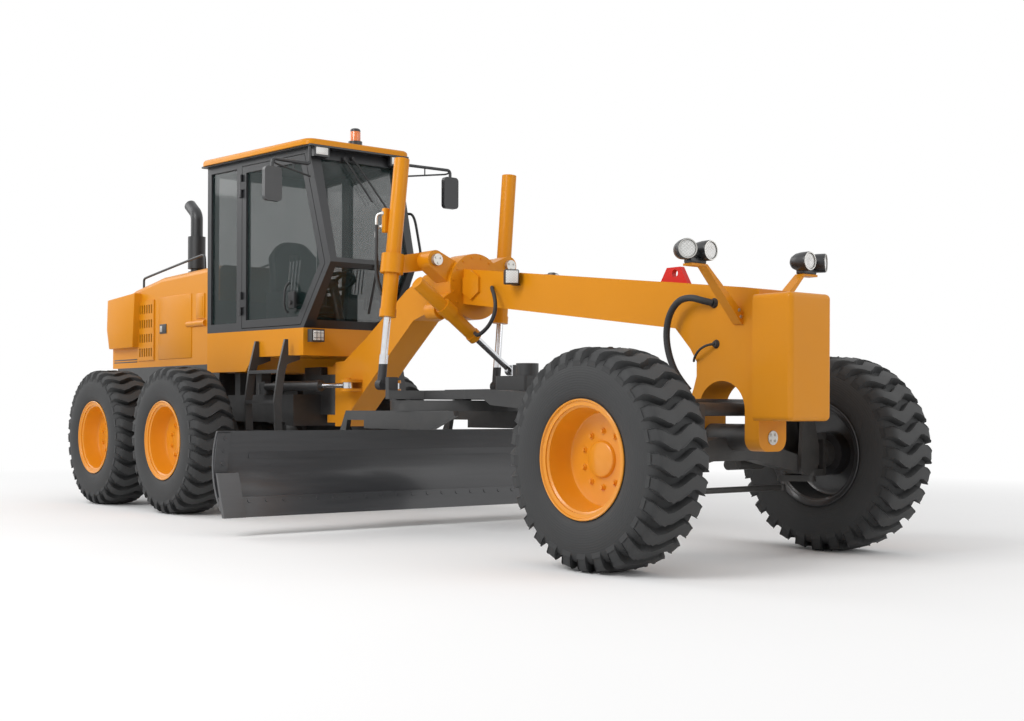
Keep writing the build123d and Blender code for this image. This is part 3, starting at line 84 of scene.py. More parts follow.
camera.matrix_world = Matrix.Translation(EYE) @ turn.to_4x4()
scene = bpy.context.scene
scene.camera = camera
scene.view_settings.view_transform = "Standard"


class Reading:
    """A value that varies over a surface, with arithmetic written as plain expressions."""

    def __init__(self, finish, socket):
        self.finish = finish
        self.socket = socket

    def math(self, operation, *values, clamp=False):
        settings = {"operation": operation, "use_clamp": clamp}
        return self.finish.node("ShaderNodeMath", settings, dict(enumerate(values)))

    def __add__(self, other):
        return self.math("ADD", self, other)

    def __radd__(self, other):
        return self.math("ADD", other, self)

    def __sub__(self, other):
        return self.math("SUBTRACT", self, other)

    def __rsub__(self, other):
        return self.math("SUBTRACT", other, self)

    def __mul__(self, other):
        return self.math("MULTIPLY", self, other)

    def __rmul__(self, other):
        return self.math("MULTIPLY", other, self)

    def __pow__(self, other):
        return self.math("POWER", self, other)

    def size(self):
        return self.math("ABSOLUTE", self)

    def wave(self):
        return self.math("SINE", self)

    def above(self, edge, blur=0.0005):
        """1 where this is over the edge, 0 where it is under, with a short ramp between."""
        return self.math("MULTIPLY_ADD", self, 0.5 / blur, 0.5 - 0.5 * edge / blur, clamp=True)

    def below(self, edge, blur=0.0005):
        return 1 - self.above(edge, blur)

    def within(self, low, high, blur=0.0005):
        return self.above(low, blur) * self.below(high, blur)


class Finish:
    """One material: a Principled surface whose colour, roughness and bump come from readings."""

    def __init__(self, name, **fixed):
        self.material = bpy.data.materials.new(name)
        self.material.use_nodes = True
        self.tree = self.material.node_tree
        self.shader = self.tree.nodes["Principled BSDF"]
        self.place = self.node("ShaderNodeTexCoord", {}, {}, "Object")
        for name, value in fixed.items():
            self.shader.inputs[name.replace("_", " ")].default_value = value

    def node(self, kind, settings, sockets, output=0):
        made = self.tree.nodes.new(kind)
        for key, value in settings.items():
            setattr(made, key, value)
        for key, value in sockets.items():
            self.join(made.inputs[key], value)
        return Reading(self, made.outputs[output])

    def join(self, socket, value):
        if isinstance(value, Reading):
            self.tree.links.new(value.socket, socket)
        elif isinstance(value, tuple) and len(value) == 3 and socket.type == "RGBA":
            socket.default_value = (*value, 1.0)
        else:
            socket.default_value = value

    def along(self, axis):
        return self.node("ShaderNodeSeparateXYZ", {}, {0: self.place}, "XYZ".index(axis))

    def mix(self, share, low, high):
        return self.node("ShaderNodeMix", {"data_type": "RGBA"}, {0: share, 6: low, 7: high}, 2)

    def noise(self, scale, detail=2.0, stretch=None):
        place = self.place
        if stretch:
            place = self.node("ShaderNodeVectorMath", {"operation": "MULTIPLY"}, {0: self.place, 1: stretch})
        return self.node("ShaderNodeTexNoise", {}, {"Vector": place, "Scale": scale, "Detail": detail})

    def from_axle(self, x, z):
        """How far a point is from a line along Y."""
        across = self.along("X") - x
        high = self.along("Z") - z
        return (across * across + high * high) ** 0.5

    def show(self, **varied):
        """Joins readings to the surface's sockets; Bump takes a height reading, its reach and strength."""
        for name, value in varied.items():
            if name == "Bump":
                height, reach, strength = value
                value = self.node(
                    "ShaderNodeBump", {}, {"Height": height, "Distance": reach, "Strength": strength}
                )
                name = "Normal"
            self.join(self.shader.inputs[name.replace("_", " ")], value)
        return self.material


# The floor is one pale sheet, far wider than the machine, that keeps its shadow and fades to white.
# Three soft lamps and a bright surround light it evenly, the strongest from high on its right.
world = bpy.data.worlds.new("surround")
scene.world = world
world.use_nodes = True
sky = world.node_tree
dome = sky.nodes["Background"]
dome.inputs["Color"].default_value = (1.0, 1.0, 1.0, 1.0)
paths = sky.nodes.new("ShaderNodeLightPath")
seen = sky.nodes.new("ShaderNodeMath")
seen.operation = "MAXIMUM"
sky.links.new(paths.outputs["Is Camera Ray"], seen.inputs[0])
sky.links.new(paths.outputs["Is Transmission Ray"], seen.inputs[1])
mirrored = sky.nodes.new("ShaderNodeMath")
mirrored.operation = "MAXIMUM"
sky.links.new(seen.outputs[0], mirrored.inputs[0])
sky.links.new(paths.outputs["Is Glossy Ray"], mirrored.inputs[1])
strength = sky.nodes.new("ShaderNodeMapRange")
strength.inputs["To Min"].default_value = 0.55
strength.inputs["To Max"].default_value = 1.0
sky.links.new(mirrored.outputs[0], strength.inputs["Value"])
sky.links.new(strength.outputs[0], dome.inputs["Strength"])

sheet = bmesh.new()
bmesh.ops.create_grid(sheet, x_segments=1, y_segments=1, size=90.0)
floor_mesh = bpy.data.meshes.new("floor")
sheet.to_mesh(floor_mesh)
sheet.free()
floor = bpy.data.objects.new("floor", floor_mesh)
bpy.context.collection.objects.link(floor)
floor.location.z = -0.001
floor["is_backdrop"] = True
pale = Finish("pale_floor", Roughness=0.9)
pale.show(Base_Color=pale.mix(pale.noise(0.6), (0.93, 0.93, 0.93), (0.96, 0.96, 0.96)))
out_x, out_y = pale.along("X"), pale.along("Y")
FADE_RADIUS, FADE_REACH = 7.5, 3.5
far_off = ((out_x * out_x + out_y * out_y) ** 0.5).above(FADE_RADIUS, FADE_REACH)
by_eye = pale.node("ShaderNodeLightPath", {}, {}, "Is Camera Ray")
glow = pale.node("ShaderNodeEmission", {}, {"Color": (1.0, 1.0, 1.0), "Strength": 1.0})
faded = pale.node("ShaderNodeMixShader", {}, {
    0: far_off * by_eye, 1: Reading(pale, pale.shader.outputs[0]), 2: glow,
})
pale.tree.links.new(faded.socket, pale.tree.nodes["Material Output"].inputs["Surface"])
floor_mesh.materials.append(pale.material)

# Lamps: name, place, size, power, where each points
for lamp, at, size, power, aim in (
    ("key", (2.5, -11.0, 8.5), 6.0, 860.0, (0.3, 0.0, 1.1)),
    ("fill", (9.5, 4.0, 5.0), 6.0, 150.0, (1.0, 0.0, 1.2)),
    ("back", (-9.0, -4.0, 7.0), 6.0, 280.0, (-1.0, 0.0, 1.4)),
):
    lamp_data = bpy.data.lights.new(lamp, "AREA")
    lamp_data.size = size
    lamp_data.energy = power
    lamp_object = bpy.data.objects.new(lamp, lamp_data)
    bpy.context.collection.objects.link(lamp_object)
    reach = Vector(aim) - Vector(at)
    lamp_object.matrix_world = Matrix.Translation(at) @ reach.to_track_quat("-Z", "Y").to_matrix().to_4x4()

# Yellow paintwork: sprayed enamel over steel plate, on the hood, roof, frame, saddle, nose and cylinders.
# It has faint orange peel, a slow drift of tone and a little dust low down.
YELLOW = (0.665, 0.245, 0.006)
YELLOW_PALE = (0.70, 0.266, 0.008)
# The beam's lifting lug, red above a line that slopes with the beam
LUG_X = 3.411
LUG_ENDS = (3.25, 3.57)
LUG_RED_Z = 1.8045
BEAM_SLOPE = 0.118


def yellow_paint(name, lug=False):
    paint = Finish(name, Coat_Roughness=0.12, Specular_IOR_Level=0.15)
    drift = paint.noise(1.7, 3.0)
    colour = paint.mix(drift, YELLOW, YELLOW_PALE)
    dust = paint.along("Z").below(1.1, 0.8) * paint.noise(6.0, 4.0) * 0.22
    colour = paint.mix(dust, colour, (0.42, 0.30, 0.16))
    if lug:
        over = paint.along("Z") + BEAM_SLOPE * (paint.along("X") - LUG_X)
        red = over.above(LUG_RED_Z) * paint.along("X").within(*LUG_ENDS)
        colour = paint.mix(red, colour, (0.62, 0.025, 0.02))
    peel = paint.noise(150.0, 2.0)
    return paint.show(
        Base_Color=colour,
        Roughness=0.30 + 0.10 * paint.noise(9.0, 3.0),
        Coat_Weight=0.06 + 0.05 * drift,
        Bump=(peel, 0.0006, 0.12),
    )


def dress(material, *nodes):
    """Gives a finish to CAD nodes that keep their own shape."""
    for node in nodes:
        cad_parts[node].data.materials.clear()
        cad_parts[node].data.materials.append(material)


plate_yellow = yellow_paint("yellow_enamel")
beam_yellow = yellow_paint("yellow_enamel_beam", lug=True)
dress(
    plate_yellow, "cab_base", "cab_roof", "saddle", "nose_weight", "lift_barrel_right", "lift_barrel_left",
    "centre_barrel",
)
dress(beam_yellow, "front_frame")


# Black paintwork: thick satin enamel on the rear frame, drawbar, circle, ladders and cab frame.
# Castings below are the same black with road dust in their hollows.
def black_paint(name, tone, rough, dust_share, grain=60.0):
    paint = Finish(name, Coat_Roughness=0.25)
    patches = paint.noise(3.5, 5.0)
    colour = paint.mix(patches, tuple(0.85 * c for c in tone), tuple(1.2 * c for c in tone))
    settled = paint.along("Z").below(1.2, 0.9) * paint.noise(11.0, 6.0) * dust_share
    colour = paint.mix(settled, colour, (0.16, 0.145, 0.12))
    return paint.show(
        Base_Color=colour,
        Roughness=rough + 0.12 * paint.noise(14.0, 4.0),
        Coat_Weight=0.12 + 0.1 * patches,
        Bump=(paint.noise(grain, 3.0), 0.0008, 0.2),
    )


frame_black = black_paint("black_enamel", (0.020, 0.021, 0.023), 0.38, 0.20)
cast_black = black_paint("black_casting", (0.024, 0.024, 0.026), 0.50, 0.35, 25.0)
dress(
    frame_black, "rear_frame", "tandem_right", "tandem_left", "ladders", "drawbar", "circle",
    "blade_carriage", "swing_barrel_right", "swing_barrel_left", "exhaust_stack",
)
dress(
    cast_black, "rear_axle", "engine", "front_axle", "lean_bracket_right", "lean_bracket_left", "lean_bar",
    "knuckle_right", "knuckle_left", "tie_rod", "drawbar_ball",
)
cab_black = black_paint("cab_black", (0.017, 0.018, 0.020), 0.34, 0.05)
dress(cab_black, "cab_frame", "door_right", "door_left", "cab_console")


# Polished rods: hard chrome with a thin film of oil.
# The lift rods' lower ends are dull black sleeves.
def rod_chrome(name, sleeve_z=None):
    rod = Finish(name)
    film = rod.noise(22.0, 3.0)
    metal = 1.0 - 0.05 * film
    colour = rod.mix(film, (0.62, 0.63, 0.65), (0.74, 0.75, 0.77))
    rough = 0.12 + 0.10 * film
    if sleeve_z:
        low = rod.along("Z").below(sleeve_z)
        colour = rod.mix(low, colour, (0.02, 0.02, 0.022))
        metal = metal * (1 - low)
        rough = rough + 0.35 * low
    return rod.show(Base_Color=colour, Metallic=metal, Roughness=rough)


chrome = rod_chrome("oiled_chrome")
dress(
    chrome, "swing_rod_right", "swing_rod_left", "centre_rod", "lean_rod", "steering_rod_right",
    "steering_rod_left",
)
SLEEVE_TOP_Z = 1.30
dress(rod_chrome("lift_rod_chrome", SLEEVE_TOP_Z), "lift_rod_right", "lift_rod_left")

# Cab glass: toughened panes with a grey-green tint, set in black rubber.
# Faint dust lies on them in patches.
glass = Finish("tinted_glass", Specular_IOR_Level=0.6)
haze = glass.noise(5.0, 5.0)
glass.show(
    Base_Color=glass.mix(haze, (0.008, 0.020, 0.019), (0.016, 0.034, 0.032)),
    Roughness=0.03 + 0.05 * haze,
    Alpha=0.40 + 0.06 * haze,
    Coat_Weight=0.1 + 0.1 * haze,
)
dress(glass.material, "cab_glass", "door_glass_right", "door_glass_left")

# Blade: rolled wear plate in semi-gloss black with a bolted cutting edge.
# Long faint streaks run along it where earth has slid.
blade_paint = Finish("blade_enamel", Coat_Roughness=0.15)
streak = blade_paint.noise(3.0, 5.0, (0.6, 0.6, 9.0))
blade_paint.show(
    Base_Color=blade_paint.mix(streak, (0.030, 0.031, 0.034), (0.055, 0.056, 0.060)),
    Roughness=0.30 + 0.16 * streak,
    Coat_Weight=0.25 + 0.1 * streak,
    Bump=(streak, 0.002, 0.15),
)
dress(blade_paint.material, "moldboard")


# Tyres: grader tyres with deep wavy bars across the tread.
# The carcass is one revolved section with moulded rings; the bars ride on it, bevelled.
AXLE_Z = 0.662
AXLES = (("front", 3.869), ("mid", -1.632), ("rear", -3.170))
WHEEL_Y = 1.082
BAR_COUNT = 28
BAR_REACH = 0.066
BAR_WAVE = 0.052
BAR_FOOT_RADIUS = 0.606
BAR_BEVEL = 0.005
CARCASS_STEPS = 112
# The side wall's moulded rings lie between these radii; dust and wear show above the last one
WALL_RADII = (0.37, 0.56)
RING_RATE = 420.0
WORN_RADIUS = 0.645
# Half the carcass outline, from the tread's middle to the bead: width, radius
CARCASS = (
    (0.0, 0.618), (0.10, 0.616), (0.165, 0.610), (0.196, 0.592), (0.212, 0.560), (0.221, 0.500),
    (0.2215, 0.460), (0.216, 0.410), (0.203, 0.372), (0.192, 0.361), (0.190, 0.322),
)
# Top of a bar from the middle to its end: share of its length, width, radius
BAR_TOP = (
    (0.0, 0.0, 0.662), (0.4, 0.085, 0.6605), (0.7, 0.150, 0.656), (0.85, 0.186, 0.646),
    (0.93, 0.205, 0.624), (1.0, 0.2165, 0.575),
)


def rubber(name, axle_x):
    tyre = Finish(name)
    out = tyre.from_axle(axle_x, AXLE_Z)
    rings = (out * RING_RATE).wave() * out.above(WALL_RADII[0], 0.004) * out.below(WALL_RADII[1], 0.02)
    dusty = tyre.noise(7.0, 6.0)
    worn = out.above(WORN_RADIUS, 0.01) * 0.35 + 0.2 * dusty
    return tyre.show(
        Base_Color=tyre.mix(worn, (0.024, 0.025, 0.026), (0.062, 0.062, 0.062)),
        Roughness=0.60 + 0.2 * dusty,
        Bump=(rings * 0.5 + tyre.noise(220.0, 2.0) * 0.3, 0.0015, 0.35),
    )


def finished(name, mesh, body, materials, replaced=(), smooth=30.0):
    """Makes a mesh a piece of the machine that rides on a body; materials are in slot order."""
    bmesh.ops.recalc_face_normals(mesh, faces=mesh.faces[:])
    data = bpy.data.meshes.new(name)
    mesh.to_mesh(data)
    mesh.free()
    for material in materials:
        data.materials.append(material)
    data.shade_smooth()
    data.set_sharp_from_angle(angle=radians(smooth))
    piece = bpy.data.objects.new(name, data)
    bpy.context.collection.objects.link(piece)
    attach(piece, body)
    if replaced:
        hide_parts(*replaced)
    return piece


def spun(mesh, outline, steps, centre=(0, 0, 0), axis=(0, 1, 0), material=0):
    """Turns an outline of distance along the axis and radius into a closed ring or disc."""
    axis = Vector(axis).normalized()
    side = axis.orthogonal().normalized()
    rim = [mesh.verts.new(Vector(centre) + axis * along + side * radius) for along, radius in outline]
    run = [mesh.edges.new(pair) for pair in zip(rim, rim[1:])]
    known = set(mesh.faces)
    bmesh.ops.spin(mesh, geom=rim + run, cent=centre, axis=axis, angle=2 * pi, steps=steps, use_merge=True)
    for face in mesh.faces:
        if face not in known:
            face.material_index = material


def pushed(mesh, faces, run, keep=False):
    """Extrudes faces along a run; returns what was made."""
    made = bmesh.ops.extrude_face_region(mesh, geom=faces, use_keep_orig=keep)["geom"]
    bmesh.ops.translate(mesh, vec=run, verts=[v for v in made if isinstance(v, bmesh.types.BMVert)])
    return made


def poured(part, whole):
    """Adds all of one mesh to another and frees it."""
    carrier = bpy.data.meshes.new("carrier")
    part.to_mesh(carrier)
    part.free()
    whole.from_mesh(carrier)
    bpy.data.meshes.remove(carrier)


def bar_station(share):
    """Width and radius of a bar's top at a share of its half length."""
    for (low, y0, r0), (high, y1, r1) in zip(BAR_TOP, BAR_TOP[1:]):
        if share <= high:
            part = (share - low) / (high - low)
            return y0 + (y1 - y0) * part, r0 + (r1 - r0) * part
    return BAR_TOP[-1][1:]


tyre_form = bmesh.new()
spun(tyre_form, [(-y, r) for y, r in reversed(CARCASS)] + list(CARCASS[1:]), CARCASS_STEPS)
# A bar starts as a flat box: X across it, Y along it, Z 0 at its foot and 1 at its top
bar = bmesh.new()
bmesh.ops.create_grid(bar, x_segments=4, y_segments=22, size=1.0)
pushed(bar, bar.faces[:], (0, 0, 1))
top_rim = [
    edge for edge in bar.edges
    if all(v.co.z > 0.5 for v in edge.verts)
    and any(v.co.z < 0.5 for face in edge.link_faces for v in face.verts)
]
for vert in bar.verts:
    across, width, height = vert.co
    on_top = height > 0.5
    y, top_radius = bar_station(abs(width))
    radius = top_radius if on_top else min(BAR_FOOT_RADIUS, top_radius - 0.035)
    spread = BAR_REACH * (1.0 if on_top else 1.22) * (1.0 - 0.12 * abs(width) ** 4)
    angle = across * spread + BAR_WAVE * sin(width * 1.3 * pi)
    inward = 1.0 if on_top else 0.985
    vert.co = (radius * sin(angle), y * inward * (1 if width > 0 else -1), -radius * cos(angle))
bmesh.ops.bevel(bar, geom=top_rim, offset=BAR_BEVEL, affect="EDGES", segments=1, profile=0.5, material=-1)
bmesh.ops.spin(
    bar, geom=bar.faces[:], cent=(0, 0, 0), axis=(0, 1, 0), angle=2 * pi * (BAR_COUNT - 1) / BAR_COUNT,
    steps=BAR_COUNT - 1, use_duplicate=True,
)
poured(bar, tyre_form)
bmesh.ops.recalc_face_normals(tyre_form, faces=tyre_form.faces[:])

# Rims: deep-yellow pressed discs with a deep dish and ten wheel bolts; their half on the machine's side is
# coloured near-black as painted shade.
# The flange is rolled, and the hub's cap is a shallow drum in the middle.
RIM_FACE_Y = 1.086
rim_paint = Finish("rim_enamel", Coat_Roughness=0.15)
tone = rim_paint.noise(4.0, 3.0)
# Painted shade: the rim's half towards the machine, where shade falls between wheel and frame, is near-black;
# the outer half is yellow.
outer = rim_paint.along("Y").size().above(RIM_FACE_Y, 0.0015)
colour = rim_paint.mix(tone, (0.71, 0.262, 0.006), (0.75, 0.286, 0.009))
rim_paint.show(
    Base_Color=rim_paint.mix(outer, (0.022, 0.022, 0.024), colour),
    Roughness=0.34 + 0.1 * rim_paint.noise(12.0, 4.0),
    Coat_Weight=0.3 + 0.1 * tone,
    Bump=(rim_paint.noise(110.0, 2.0), 0.0006, 0.15),
)
# Rim outline: width towards the outside, radius
RIM = (
    (0.045, 0.0), (0.045, 0.098), (0.040, 0.106), (0.022, 0.112), (0.016, 0.135), (0.015, 0.255),
    (0.022, 0.276), (0.045, 0.287), (0.120, 0.297), (0.172, 0.306), (0.182, 0.320), (0.186, 0.336),
    (0.194, 0.343), (0.204, 0.347), (0.2065, 0.353), (0.203, 0.3575), (0.196, 0.357), (0.193, 0.350),
    (0.191, 0.319), (-0.191, 0.319), (-0.193, 0.350), (-0.196, 0.357), (-0.203, 0.3575),
    (-0.2065, 0.353), (-0.204, 0.345), (-0.190, 0.322), (-0.180, 0.306), (-0.060, 0.296),
    (-0.020, 0.286), (-0.007, 0.262), (-0.007, 0.150), (-0.102, 0.146), (-0.102, 0.0),
)
RIM_STEPS = 96
BOLT_RING = 0.167
BOLT_COUNT = 10
WELD = 0.00005
rim_form = bmesh.new()
spun(rim_form, RIM, RIM_STEPS)
bolt = bmesh.new()
facing = Matrix.Rotation(-pi / 2, 4, "X")
bmesh.ops.create_cone(
    bolt, cap_ends=True, segments=14, radius1=0.021, radius2=0.017, depth=0.012,
    matrix=Matrix.Translation((0, 0.019, BOLT_RING)) @ facing,
)
bmesh.ops.create_cone(
    bolt, cap_ends=True, segments=6, radius1=0.0135, radius2=0.0125, depth=0.014,
    matrix=Matrix.Translation((0, 0.030, BOLT_RING)) @ facing,
)
bmesh.ops.spin(
    bolt, geom=bolt.faces[:], cent=(0, 0, 0), axis=(0, 1, 0), angle=2 * pi * (BOLT_COUNT - 1) / BOLT_COUNT,
    steps=BOLT_COUNT - 1, use_duplicate=True,
)
poured(bolt, rim_form)
bmesh.ops.remove_doubles(rim_form, verts=rim_form.verts[:], dist=WELD)

for end, x in AXLES:
    end_rubber = rubber(f"{end}_rubber", x)
    for side, hand in ((-1, "right"), (1, "left")):
        place = Matrix.Translation((x, side * WHEEL_Y, AXLE_Z))
        if side < 0:
            place = place @ Matrix.Rotation(pi, 4, "Z")
        for form, part, slot, material in (
            (tyre_form, "tyre", "tyre", end_rubber), (rim_form, "rim", "rim", rim_paint.material)
        ):
            own = form.copy()
            bmesh.ops.transform(own, matrix=place, verts=own.verts[:])
            finished(
                f"{part}_body_{end}_{hand}", own, f"wheel_{end}_{hand}", [material],
                [f"{part}_{end}_{hand}"], 40.0,
            )
tyre_form.free()
rim_form.free()

# Small steel: zinc-plated bolts and pin caps, moulded rubber, and lamp glass in clear, amber and red.
# Each is one finish used by several pieces that follow.
zinc = Finish("zinc_plate", Metallic=0.9)
film = zinc.noise(40.0, 3.0)
zinc.show(Base_Color=zinc.mix(film, (0.45, 0.44, 0.42), (0.62, 0.61, 0.58)), Roughness=0.32 + 0.15 * film)
moulded = Finish("moulded_rubber")
pores = moulded.noise(300.0, 2.0)
moulded.show(
    Base_Color=moulded.mix(moulded.noise(8.0, 3.0), (0.016, 0.016, 0.017), (0.030, 0.030, 0.031)),
    Roughness=0.55 + 0.15 * pores,
    Bump=(pores, 0.0005, 0.2),
)


def lamp_glass(name, tone, ridges):
    lens = Finish(name, Specular_IOR_Level=0.7)
    flutes = (lens.along("Y") * ridges).wave() * (lens.along("Z") * ridges).wave()
    return lens.show(
        Base_Color=lens.mix(0.5 + 0.5 * flutes, tone, tuple(0.72 * c for c in tone)),
        Roughness=0.08 + 0.1 * lens.noise(60.0),
        Coat_Weight=0.6 + 0.2 * lens.noise(20.0),
        Bump=(flutes, 0.001, 0.4),
    )


clear_lens = lamp_glass("clear_lens", (0.80, 0.80, 0.78), 330.0)
amber_lens = lamp_glass("amber_lens", (0.90, 0.20, 0.01), 260.0)
red_lens = lamp_glass("red_lens", (0.50, 0.012, 0.01), 300.0)


def block(mesh, middle, size, bevel=0.004, material=0, turn=Matrix.Identity(4)):
    """A box with softened edges."""
    placed = Matrix.Translation(middle) @ turn @ Matrix.Diagonal((*size, 1.0))
    made = bmesh.ops.create_cube(mesh, size=1.0, matrix=placed)
    for vert in made["verts"]:
        for face in vert.link_faces:
            face.material_index = material
    edges = list(dict.fromkeys(edge for vert in made["verts"] for edge in vert.link_edges))
    if bevel:
        bmesh.ops.bevel(mesh, geom=edges, offset=bevel, affect="EDGES", segments=2, profile=0.5, material=-1)


def bar_between(mesh, start, end, radius, far_radius=None, segments=24, material=0):
    """A round or many-sided bar between two points."""
    start, end = Vector(start), Vector(end)
    run = end - start
    placed = Matrix.Translation((start + end) / 2) @ run.to_track_quat("Z", "Y").to_matrix().to_4x4()
    made = bmesh.ops.create_cone(
        mesh, cap_ends=True, segments=segments, radius1=radius, radius2=far_radius or radius,
        depth=run.length, matrix=placed,
    )
    for vert in made["verts"]:
        for face in vert.link_faces:
            face.material_index = material


def bolt_head(mesh, at, out, radius, material=0):
    """A hexagon head on its washer, standing out from a face."""
    at, out = Vector(at), Vector(out).normalized()
    bar_between(mesh, at - 0.002 * out, at + 0.18 * radius * out, 1.35 * radius, material=material)
    bar_between(mesh, at, at + 0.8 * radius * out, radius, 0.93 * radius, 6, material)


def line_of(points, radius):
    """A smooth curve of one spline with a round section."""
    curve = bpy.data.curves.new("line", "CURVE")
    curve.dimensions = "3D"
    curve.bevel_depth = radius
    curve.bevel_resolution = 4
    curve.resolution_u = 10
    curve.use_fill_caps = True
    spline = curve.splines.new("NURBS")
    spline.points.add(len(points) - 1)
    for point, at in zip(spline.points, points):
        point.co = (*at, 1.0)
    spline.order_u = 3
    spline.use_endpoint_u = True
    return curve


def bent_tube(mesh, points, radius, material=0):
    """A bent steel tube, as mesh."""
    holder = bpy.data.objects.new("line", line_of(points, radius))
    made = bpy.data.meshes.new_from_object(holder)
    for polygon in made.polygons:
        polygon.material_index = material
    mesh.from_mesh(made)
    bpy.data.objects.remove(holder)
    bpy.data.meshes.remove(made)


def extruded(mesh, corners, run, material=0):
    """A plate or body from one flat outline, carried along a run."""
    face = mesh.faces.new([mesh.verts.new(corner) for corner in corners])
    first = face.verts[:]
    made = pushed(mesh, [face], run, True)
    for vert in first + [v for v in made if isinstance(v, bmesh.types.BMVert)]:
        for side_face in vert.link_faces:
            side_face.material_index = material


# Hood: folded steel shell over the engine, its top edges rolled, with a wider tail box at the cooling pack.
# Each side has a slotted service door, a plain door with a latch, a pressed scoop and a pair of dark stripes.
HOOD_LINE = (
    (-4.471, 1.380), (-2.021, 1.380), (-2.021, 2.330), (-2.311, 2.328), (-3.278, 2.301), (-3.927, 2.214),
    (-4.301, 2.130), (-4.471, 2.090),
)
TAIL_LINE = ((-4.471, 1.594), (-3.804, 1.594), (-3.754, 2.165), (-4.511, 2.121), (-4.531, 1.800))
HOOD_HALF, TAIL_HALF = 0.500, 0.580
DOOR_LIFT, SLOT_DEPTH = 0.013, 0.011
SCOOP_X, SCOOP_Z = -2.405, 1.955


def lengthways(edge):
    """Whether an edge doesn't run across the machine."""
    return abs(edge.verts[0].co.y - edge.verts[1].co.y) < 0.01


hood = bmesh.new()
extruded(hood, [(x, -HOOD_HALF, z) for x, z in HOOD_LINE], (0, 2 * HOOD_HALF, 0))
rolled = [edge for edge in hood.edges if lengthways(edge) and all(v.co.z > 2.08 for v in edge.verts)]
bmesh.ops.bevel(hood, geom=rolled, offset=0.06, affect="EDGES", segments=5, profile=0.5, material=-1)
tail = bmesh.new()
extruded(tail, [(x, -TAIL_HALF, z) for x, z in TAIL_LINE], (0, 2 * TAIL_HALF, 0))
rear_corners = [edge for edge in tail.edges if lengthways(edge) and all(v.co.x < -4.46 for v in edge.verts)]
bmesh.ops.bevel(tail, geom=rear_corners, offset=0.09, affect="EDGES", segments=3, profile=0.5, material=-1)
bmesh.ops.bevel(tail, geom=tail.edges[:], offset=0.006, affect="EDGES", segments=2, profile=0.5, material=-1)
poured(tail, hood)

# Slots of the service door: edges along the machine and up
slot_edges = [start + slot * 0.055 for slot in range(6) for start in (-3.776, -3.746)]
SLOT_X = [-3.815, *slot_edges, -3.435]
SLOT_Z = [1.450, 1.491, 1.580, 1.641, 1.728, 1.792, 1.878, 1.943, 2.033, 2.078]
for side in (-1, 1):
    face_y = side * HOOD_HALF
    panel = bmesh.new()
    bmesh.ops.create_grid(panel, x_segments=len(SLOT_X) - 1, y_segments=len(SLOT_Z) - 1, size=1.0)
    for vert in panel.verts:
        column = round((vert.co.x + 1) / 2 * (len(SLOT_X) - 1))
        row = round((vert.co.y + 1) / 2 * (len(SLOT_Z) - 1))
        vert.co = (SLOT_X[column], face_y - side * 0.001, SLOT_Z[row])
    slots = []
    for face in pushed(panel, panel.faces[:], (0, side * DOOR_LIFT, 0)):
        if isinstance(face, bmesh.types.BMFace):
            middle = face.calc_center_median()
            column = sum(x < middle.x for x in SLOT_X)
            row = sum(z < middle.z for z in SLOT_Z)
            if column % 2 == 0 and row % 2 == 0:
                slots.append(face)
    sunk = bmesh.ops.extrude_discrete_faces(panel, faces=slots)["faces"]
    bmesh.ops.translate(
        panel, vec=(0, -side * SLOT_DEPTH, 0), verts=list({v for face in sunk for v in face.verts})
    )
    # The slots' floors are coloured black: painted shade for the dark space behind the openings.
    for face in sunk:
        face.material_index = 1
    poured(panel, hood)
    # Plain door, its seam at the cab, the pressed handle, the scoop, latch and stripes
    block(hood, (-2.965, face_y, 1.772), (0.740, 0.014, 0.640), 0.005)
    block(hood, (SCOOP_X, face_y, SCOOP_Z), (0.180, 0.024, 0.250), 0.011)
    block(hood, (SCOOP_X, face_y + side * 0.010, SCOOP_Z), (0.130, 0.012, 0.200), 0.005)
    bar_between(hood, (-2.690, face_y, 1.786), (-2.300, face_y, 1.786), 0.028, 0.032, 20)
    block(hood, (-3.217, face_y + side * 0.008, 1.765), (0.150, 0.012, 0.098), 0.004, 1)
    block(hood, (-3.250, face_y + side * 0.014, 1.765), (0.050, 0.012, 0.060), 0.004, 2)
    for z in (1.443, 1.468):
        block(hood, (-4.140, face_y, z), (0.580, 0.004, 0.012), 0.001, 1)
# Grille across the tail's rear face, and the filler cap with its clip on top
for slat in range(9):
    block(hood, (-4.522, 0, 1.835 + slat * 0.031), (0.022, 0.900, 0.014), 0.002, 1)
block(hood, (-4.516, 0, 1.960), (0.014, 0.940, 0.290), 0.004, 1)
bar_between(hood, (-3.560, -0.300, 2.250), (-3.560, -0.300, 2.312), 0.062, 0.056, 28)
block(hood, (-3.480, -0.300, 2.292), (0.060, 0.050, 0.036), 0.006, 1)
finished("hood_panels", hood, "rear", [plate_yellow, frame_black, zinc.material], ["engine_hood"])

# Hood rails: bent black tube along both top edges, for a hand when checking the engine.
# Each is welded to the hood at its two ends.
rails = bmesh.new()
for y in (-0.440, 0.440):
    bent_tube(rails, [
        (-3.820, y, 2.20), (-3.824, y, 2.29), (-3.815, y, 2.325), (-3.77, y, 2.335), (-2.54, y, 2.462),
        (-2.46, y, 2.466), (-2.435, y, 2.43), (-2.43, y, 2.31),
    ], 0.012)
finished("hood_rails", rails, "rear", [frame_black])

# Rear lamps: red and amber lenses in black housings on the rear frame's closing plate.
# One housing each side, with a lens of each colour.
rear_lamps = bmesh.new()
for side in (-1, 1):
    block(rear_lamps, (-4.392, side * 0.380, 1.230), (0.030, 0.170, 0.100), 0.008)
    for y, lens in ((0.345, 1), (0.415, 2)):
        bar_between(rear_lamps, (-4.400, side * y, 1.230), (-4.414, side * y, 1.230), 0.032, 0.028, 24, lens)
finished("rear_lamps", rear_lamps, "rear", [cab_black, red_lens, amber_lens])

